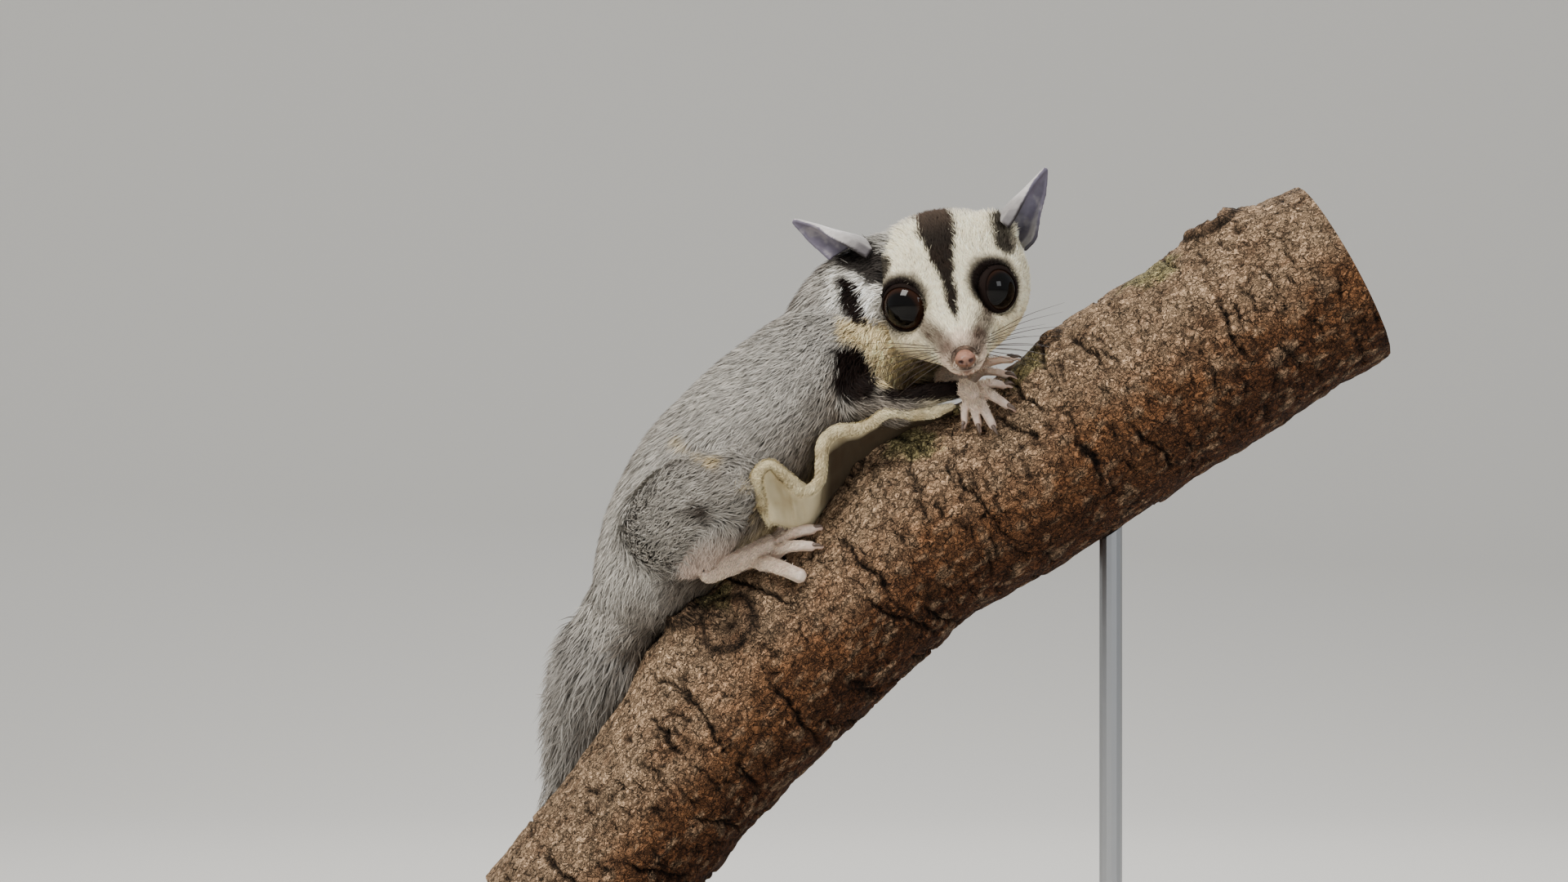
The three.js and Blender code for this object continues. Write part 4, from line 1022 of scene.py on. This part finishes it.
# Short hair's numbers, in the order of the coats'.
SHORT_HAIR = np.array([0.22, 0.8, 0.11, 4.0, 0.0])


def short_hair(name, slot, verts, faces, density, colour):
    """Short hair over a bare form: density is per square millimetre at each face's middle."""
    tris = split(faces)
    p, n = scatter(verts, tris, point_normals(verts, tris), density(verts[tris].mean(1)))
    ways, _, chart, place = follow(p)
    parts = blades(SHORT, p, n, ways, np.tile(SHORT_HAIR, (len(p), 1)), colour(p), grizzle=0.1)
    add_coat(name, SHORT, parts, slot, chart_place(p, chart, place))


def paw_tint(p):
    tint = mix(C["pink"], C["deep_pink"], smooth(-0.2, 1.0, layered(p / 1.3, 5)) * 0.45)
    return mix(tint, C["deep_pink"], (1 - smooth(0.2, 1.5, branch_height(p))) * 0.55)


def paw_hair(p):
    """Hair on the top of a paw, thinning towards the digits."""
    return 16 * smooth(2.4, 4.2, branch_height(p))


def paw_hair_colour(p):
    return np.tile(mix(C["pink"], C["cream"], 0.35), (len(p), 1))


for part, swell in (("hand", 0.1), ("foot", 0.3)):
    for side in ("right", "left"):
        node = f"{part}_{side}"
        verts, faces = remeshed([node], 0.22, swell, 3)
        keep(add_mesh(f"bare_{node}", verts, faces, BARE, paw_tint(verts)), "skin", node)
        short_hair(f"coat_{node}", "skin", verts, faces, paw_hair, paw_hair_colour)

EAR_ROOT = np.array([13.2, 1.0, 5.2])
EAR_OPENS = {"right": [-0.15, 0.9, -0.42], "left": [0.5, 0.86, -0.2]}
for side, opens in EAR_OPENS.items():
    node = f"ear_{side}"
    verts, faces = remeshed([node], 0.22, 0.08, 4)
    inner = smooth(-0.1, 0.5, point_normals(verts, split(faces)) @ (np.array(opens) @ HEAD_AXES))
    from_root = np.linalg.norm(to_head(verts) - EAR_ROOT * [-1 if side == "right" else 1, 1, 1], axis=1)
    tint = mix(C["ear_back"], C["ear"], inner)
    tint = mix(tint, C["ear_rim"], smooth(0.3, 1.0, layered(verts / 2.0, 71)) * 0.35)
    tint = mix(tint, C["soot"], (1 - smooth(4.5, 11.5, from_root)) * (0.5 + 0.45 * inner))
    keep(add_mesh(f"ear_shell_{side}", verts, faces, EAR_SKIN, tint), "skin", node)

# The gliding membranes: a soft rolled edge along a line, and a web that hangs from it to an inner line.
# Each station is [x, y, z] of the edge, then of the web's inner line.
MEMBRANES = {
    "right": [
        [31.5, -11, 6.6, 31.8, -5, 5.1],
        [27.4, -12.8, 5.3, 27.8, -5, 2.6],
        [23.6, -14.6, 5, 24.4, -5, 2.2],
        [18.8, -16.6, 5, 20.6, -5, -0.5],
        [16.2, -17, 3.4, 17.8, -5, -2.4],
        [13.2, -16.4, 2.2, 14.6, -5, -5.5],
        [9.8, -16.6, 1.8, 11.2, -5.6, -9],
        [7.4, -17, -0.4, 8.6, -6.4, -11.6],
        [7, -16.8, -3.9, 7.4, -7.4, -13],
        [6.6, -16.2, -7.3, 6.2, -8.4, -14.4],
        [4, -16.6, -9.2, 4.6, -9.6, -16.4],
        [0.3, -18.6, -6.6, 2.6, -11, -16.6],
        [-2.6, -20.4, -4.4, 0.6, -12, -16],
        [-5, -20.8, -6.4, -1.4, -13, -15.4],
        [-4.6, -18.6, -10.4, -2.4, -13, -15.6],
        [-3.4, -14.6, -14, -3, -12.6, -16],
    ],
    "left": [
        [31.6, 9.6, 11.4, 31.6, 7.6, 9.8],
        [27.4, 12.6, 8.4, 27.4, 9.2, 6.4],
        [23, 15.6, 5.6, 23.4, 11, 3],
        [17.6, 17.4, 4.8, 18.6, 12.4, 0.6],
        [13, 18.4, 1.8, 14, 13.2, -2.6],
        [8.6, 18.6, 0.6, 9.8, 13.6, -5.2],
        [5, 19, -3.6, 6, 13.8, -8.6],
        [0.6, 20.6, -4.8, 2, 13.6, -12],
        [-3.6, 20.4, -8, -1.8, 13.4, -14.8],
        [-3.4, 15.8, -13.6, -3, 13, -16],
    ],
}
ROLL = 1.05
WEB_HALF_THICKNESS = 0.3


def membrane(stations, steps=150):
    """A closed loop of points at each step: round the rolled edge, then down and up the web's two faces."""
    line, tangent = spline(stations, steps)
    edge, inner = line[:, :3], line[:, 3:]
    share = np.linspace(0, 1, steps)
    along = share * np.linalg.norm(np.diff(edge, axis=0), axis=1).sum()
    inward = inner - edge
    inward = unit(inward - (inward * tangent).sum(1)[:, None] * tangent)
    normal = np.cross(tangent, inward)
    ends = np.minimum(1, 0.45 + 9 * np.minimum(share, 1 - share))
    level = np.zeros(steps)
    roll = ROLL * ends * (1 + 0.16 * noise(np.column_stack([along / 3.1, level, level]), 81))
    rows = []
    for degrees in np.linspace(150, -150, 11)[::-1]:
        angle = math.radians(degrees + 180)
        rows.append(edge + (inward * math.cos(angle) + normal * math.sin(angle) * 0.9) * roll[:, None])
    middle = []
    for t in np.linspace(0.12, 1, 8):
        wave = 0.55 * noise(np.column_stack([along / 2.2, level + t * 2, level]), 83) * math.sin(3 * t)
        middle.append(edge + (inner - edge) * t + normal * wave[:, None])
    thick = normal * WEB_HALF_THICKNESS
    down = [q + thick for q in middle]
    up = [q - thick for q in middle[::-1]]
    return sweep(np.stack(rows + down + up, axis=1))


def membrane_tint(p, edge):
    """Pale on the rolled edge and before the thigh, mottled with painted shade of small folds, and dark
    with painted shade where the web lies in the body's shade.
    """
    # Mottled with a darker tone: painted shade of the membrane's small folds.
    tint = mix(C["membrane"], C["membrane_fold_shade"], smooth(-0.3, 0.9, layered(p / 2.2, 8)) * 0.5)
    off = np.min([np.linalg.norm(p - q, axis=1) for q in edge], axis=0)
    return mix(tint, C["dark_brown"], smooth(1.3, 2.6, off) * (0.25 + 0.7 * smooth(5, 9, p[:, 0])))


def membrane_cover(p):
    """Blades for each square millimetre of a membrane."""
    return np.full(len(p), 24.0)


for side, stations in MEMBRANES.items():
    verts, faces = membrane(np.array(stations))
    edge = spline(stations, 60)[0][:, :3]
    # The membrane's skin is its hair's colour made darker: painted shade under the hair.
    piece = add_mesh(f"membrane_{side}", verts, faces, UNDERFUR, membrane_tint(verts, edge) * 0.8)
    keep(piece, "membrane", f"patagium_{side}")
    name = f"coat_membrane_{side}"
    short_hair(name, "membrane", verts, faces, membrane_cover, lambda p: membrane_tint(p, edge))


# Claws and whiskers.
def joined(name, tubes, piece_material, slot):
    """Tubes as one piece."""
    verts, faces, base = [], [], 0
    for v, f in tubes:
        verts.append(v)
        faces.append(f + base)
        base += len(v)
    return keep(add_mesh(name, np.concatenate(verts), np.concatenate(faces), piece_material), slot)


# Where each clawed digit starts and ends: (share, degrees, share, degrees) on the branch.
DIGITS = {
    "hand_right": [
        (0.642, 30, 0.667, 34),
        (0.642, 34, 0.657, 48.5),
        (0.637, 37, 0.633, 54.5),
        (0.63, 37.5, 0.6205, 48),
        (0.627, 33, 0.609, 41),
    ],
    "hand_left": [
        (0.646, 9, 0.676, 27),
        (0.65, 5, 0.69, 13),
        (0.65, 0, 0.688, -2),
        (0.645, -4, 0.672, -16),
        (0.636, -4, 0.638, -26),
    ],
    "foot_right": [
        (0.414, 33, 0.442, 47),
        (0.418, 29, 0.4535, 38),
        (0.418, 23.5, 0.459, 26),
        (0.413, 18.5, 0.45, 14),
    ],
    "foot_left": [
        (0.414, -35, 0.442, -50),
        (0.418, -31, 0.4535, -41),
        (0.418, -25.5, 0.459, -29),
        (0.413, -20.5, 0.45, -17),
    ],
}
CLAW_RADII = np.array([0.42, 0.4, 0.26, 0.05])
for limb, digits in DIGITS.items():
    claws = []
    for s0, a0, s1, a1 in digits:
        root = on_branch(s1, a1, 1.4)
        ahead = unit(on_branch(s1, a1, 1.3) - on_branch(s0 + (s1 - s0) * 0.7, a0 + (a1 - a0) * 0.7, 1.3))
        down = unit(on_branch(s1, a1, 0) - on_branch(s1, a1, 1))
        hook = [(-0.2, 0), (0.7, 0.05), (1.4, 0.5), (1.75, 1.3)]
        claws.append(tube(np.array([root + ahead * a + down * b for a, b in hook]), CLAW_RADII, 8))
    joined(f"claws_{limb}", claws, HORN_SHEATH, "skin")

whiskers = []
for sign in (-1, 1):
    for row in range(3):
        for k in range(4):
            ahead = 21.0 - 1.3 * k - 0.3 * row
            root = in_head([sign * np.interp(ahead, [14, 24], [7.2, 3.2]) * 0.93, ahead, -8.0 - 1.2 * row])
            aside = sign * (0.9 + 0.1 * rng.random())
            out = unit(np.array([aside, 0.25 - 0.22 * k, 0.2 - 0.25 * row]) @ HEAD_AXES)
            span = 8 + 3 * k + 2 * rng.random()
            droop = np.array([0, 0, -1.0]) * span * 0.12
            points = np.array([root, root + out * span * 0.5 + droop * 0.2, root + out * span + droop])
            whiskers.append(tube(points, np.array([0.07, 0.05, 0.015]), 4))
joined("whiskers", whiskers, WHISKER, "skin")

# The branch: a fine bark over the same axis, with its knots as (share, degrees, radius, height).
KNOTS = [
    (0.331, 39.5, 5.4, 1.7),
    (0.308, 10, 4.0, 4.0),
    (0.513, 19, 2.6, 1.3),
    (0.727, 18, 2.9, 1.5),
    (0.912, 4, 5.6, 2.6),
]
# Where lichen grows, as (share, degrees, radius).
LICHEN_PATCHES = [(0.56, 32, 5.5), (0.6, 14, 4), (0.69, 22, 6), (0.84, 16, 7), (0.34, 20, 4)]
# Broad swellings of the branch, as (share, degrees, radius, height).
SWELLINGS = [(0.535, 10, 10, 2.6), (0.362, 6, 8, 3.0), (0.27, 2, 9, 3.8)]
BARK_ALONG, BARK_ROUND = 430, 220
share, degrees = np.meshgrid(
    np.linspace(0, 1, BARK_ALONG), 360 * np.arange(BARK_ROUND) / BARK_ROUND, indexing="ij"
)
share, degrees = share.ravel(), degrees.ravel()
plain = on_branch(share, degrees)
run = share * BRANCH_LENGTH
angle = np.radians(degrees)
girth = np.stack([17 * np.cos(angle), 17 * np.sin(angle)], axis=1)


def bark_noise(along, around, seed, octaves=3):
    return layered(np.column_stack([run / along, girth / around]), seed, octaves)


def bark_distance(at, turn):
    return np.linalg.norm(plain - on_branch(at, turn), axis=1)


def hump(x):
    return np.exp(-(x**2))


def split_bark(count, spans, half_width):
    """Cracks that run part of the way round the branch: how deep they are at each point, from 0 to 1."""
    depth = np.zeros(len(share))
    wander = 1.1 * bark_noise(7, 5, 47) + 0.5 * bark_noise(2, 2, 48)
    for _ in range(count):
        at, first, lean = BRANCH_LENGTH * rng.random(), 360 * rng.random(), 0.07 * rng.normal()
        span = spans[0] + (spans[1] - spans[0]) * rng.random()
        turned = (degrees - first) % 360
        inside = smooth(0, 0.25, turned / span) * (1 - smooth(0.7, 1, turned / span))
        off = np.abs(run - at - lean * turned + wander)
        depth = np.maximum(depth, inside * (1 - smooth(0.3 * half_width, half_width, off)))
    return depth


long_cracks = split_bark(64, (30, 80), 0.7)
short_cracks = split_bark(340, (8, 26), 0.5)
flakes = bark_noise(2.4, 1.3, 17, 3)
pits = smooth(0.75, 1.1, bark_noise(1.6, 1.2, 19, 2))
patches = bark_noise(14, 10, 26)
relief = 0.35 * bark_noise(16, 12, 1) + 0.25 * bark_noise(5, 8, 2)
relief += 0.2 * flakes - 0.95 * long_cracks - 0.5 * short_cracks - 0.35 * pits
for s, a, radius, height in SWELLINGS:
    relief += height * hump(bark_distance(s, a) / radius)
knot_ring = np.zeros(len(share))
knot_rim = np.zeros(len(share))
knot_heart = np.zeros(len(share))
for s, a, radius, height in KNOTS:
    off = bark_distance(s, a) * (1 + 0.12 * bark_noise(3, 3, 23))
    collar = hump((off - radius * 0.78) / (radius * 0.42))
    heart = hump(off / (radius * 0.45))
    skirt = hump(off / (radius * 1.6))
    relief += height * (0.75 * collar + 0.3 * skirt - 0.55 * heart)
    ring = hump((off - radius) / (0.17 * radius))
    relief += 0.2 * np.sin(off * 5.0) * skirt - 0.7 * ring
    knot_ring = np.maximum(knot_ring, ring)
    knot_rim = np.maximum(knot_rim, collar)
    knot_heart = np.maximum(knot_heart, heart)
bark_verts = on_branch(share, degrees, relief - 0.25)

# Paler on top and darker underneath: partly the bark's own tone, partly painted light on the top and
# painted shade underneath.
upper = np.cos(angle - 0.3)
tone = mix(C["bark_mid"], C["bark_pale"], smooth(0.1, 0.95, upper + 0.3 * patches) * 0.85)
tone = mix(tone, C["bark_low"], smooth(-0.45, 0.6, -upper + 0.3 * bark_noise(9, 6, 25)) * 0.95)
tone = mix(tone, C["bark_pale"], smooth(0.15, 0.8, flakes) * 0.45)
tone = mix(tone, C["bark_low"], smooth(0.1, 0.8, -flakes) * 0.5)
for s, a, radius in LICHEN_PATCHES:
    off = bark_distance(s, a) / radius + 0.4 * bark_noise(2.5, 2.5, 29)
    tone = mix(tone, C["lichen"], (1 - smooth(0.5, 1.0, off)) * 0.8)
tone *= (1 + 0.2 * bark_noise(2.2, 1.6, 33))[:, None]
# Cracks and pits painted near black: partly the dark inner bark, partly painted shade in the hollows.
tone = mix(tone, C["bark_crack"], np.clip(long_cracks + 0.85 * short_cracks + 0.8 * pits, 0, 1) * 0.95)
tone = mix(tone, C["bark_low"], knot_rim * 0.5)
# The knots' grooves and sunken hearts painted dark: partly the knots' dark wood, partly painted shade in
# the hollows.
tone = mix(tone, C["bark_crack"], knot_ring * 0.85)
tone = mix(tone, C["bark_crack"], knot_heart * 0.9)
verts, faces = sweep(bark_verts.reshape(BARK_ALONG, BARK_ROUND, 3))
bark = add_mesh("bark", verts, faces[:, ::-1], BARK, tone)
grain = bark.data.attributes.new("grain", "FLOAT_VECTOR", "POINT")
grain.data.foreach_set("vector", np.column_stack([run, girth]).astype(np.float32).ravel())
keep(bark, "bark", "branch")

for end, row in (("low", 0), ("high", BARK_ALONG - 1)):
    rim = bark_verts.reshape(BARK_ALONG, BARK_ROUND, 3)[row]
    middle = rim.mean(0)
    verts, faces = sweep(np.array([middle + (rim - middle) * t for t in np.linspace(1, 0.02, 26)]))
    out = np.linalg.norm(verts - middle, axis=1)
    rings = 0.5 + 0.5 * np.sin(out * 3.1 + 1.4 * layered(verts / 9.0, 35))
    tint = mix(C["cut_wood"], C["cut_ring"], rings * 0.45)
    tint = mix(tint, C["bark_low"], smooth(14.6, 16.4, out))
    keep(add_mesh(f"cut_end_{end}", verts, faces, END_GRAIN, tint), "bark")

# The stand's CAD nodes are shown as they are, in wood and steel.
for node, look in (("stand_base", PLINTH), ("stand_rod_rear", STEEL), ("stand_rod_front", STEEL)):
    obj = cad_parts[node]
    obj.data.materials.clear()
    obj.data.materials.append(look)

# Floor, light and camera. The floor sweeps up into a pale wall behind the part.
SWEEP = {"front": -2.5, "back": 1.0, "radius": 0.7, "height": 3.0, "half_width": 3.5}
bend = [
    (SWEEP["back"] + SWEEP["radius"] * math.sin(t), SWEEP["radius"] * (1 - math.cos(t)))
    for t in np.linspace(0, math.pi / 2, 24)
]
profile = [(SWEEP["front"], 0.0)] + bend + [(SWEEP["back"] + SWEEP["radius"], SWEEP["height"])]
floor_mesh = bpy.data.meshes.new("floor")
floor_verts = [(x, y, z) for y, z in profile for x in (-SWEEP["half_width"], SWEEP["half_width"])]
floor_faces = [(2 * i, 2 * i + 1, 2 * i + 3, 2 * i + 2) for i in range(len(profile) - 1)]
floor_mesh.from_pydata(floor_verts, [], floor_faces)
floor_mesh.polygons.foreach_set("use_smooth", [True] * len(floor_faces))
floor_mesh.materials.append(material("floor", 0.9, colour="floor"))
floor = add_object("floor", floor_mesh)

world = bpy.data.worlds.new("studio")
world.use_nodes = True
world.node_tree.nodes["Background"].inputs["Color"].default_value = (0.88, 0.92, 0.97, 1)
world.node_tree.nodes["Background"].inputs["Strength"].default_value = 0.5
bpy.context.scene.world = world


def lamp(name, place, target, size, power, colour=(1, 1, 1)):
    data = bpy.data.lights.new(name, "AREA")
    data.size = size
    data.energy = power
    data.color = colour
    obj = add_object(name, data)
    obj.location = place
    way = Vector(target) - Vector(place)
    obj.rotation_euler = way.to_track_quat("-Z", "Y").to_euler()


MIDDLE = (0.0, 0.0, 0.17)
lamp("key", (-0.5, -0.6, 1.05), MIDDLE, 0.5, 18, (1.0, 0.97, 0.92))
lamp("fill", (0.75, -0.9, 0.6), MIDDLE, 0.4, 3, (0.95, 0.97, 1.0))
lamp("rim", (0.1, 0.9, 0.8), MIDDLE, 0.6, 7)

LENS, FILM, DISTANCE = 90.0, 36.0, 744.0
camera_data = bpy.data.cameras.new("camera")
camera_data.lens = LENS
camera_data.sensor_width = FILM
camera_data.clip_end = 20
camera = add_object("camera", camera_data)
camera.location = (np.array([0.0, -DISTANCE, 0.0]) + CHEST) / 1000
camera.rotation_euler = (math.radians(90), 0, 0)
bpy.context.scene.camera = camera
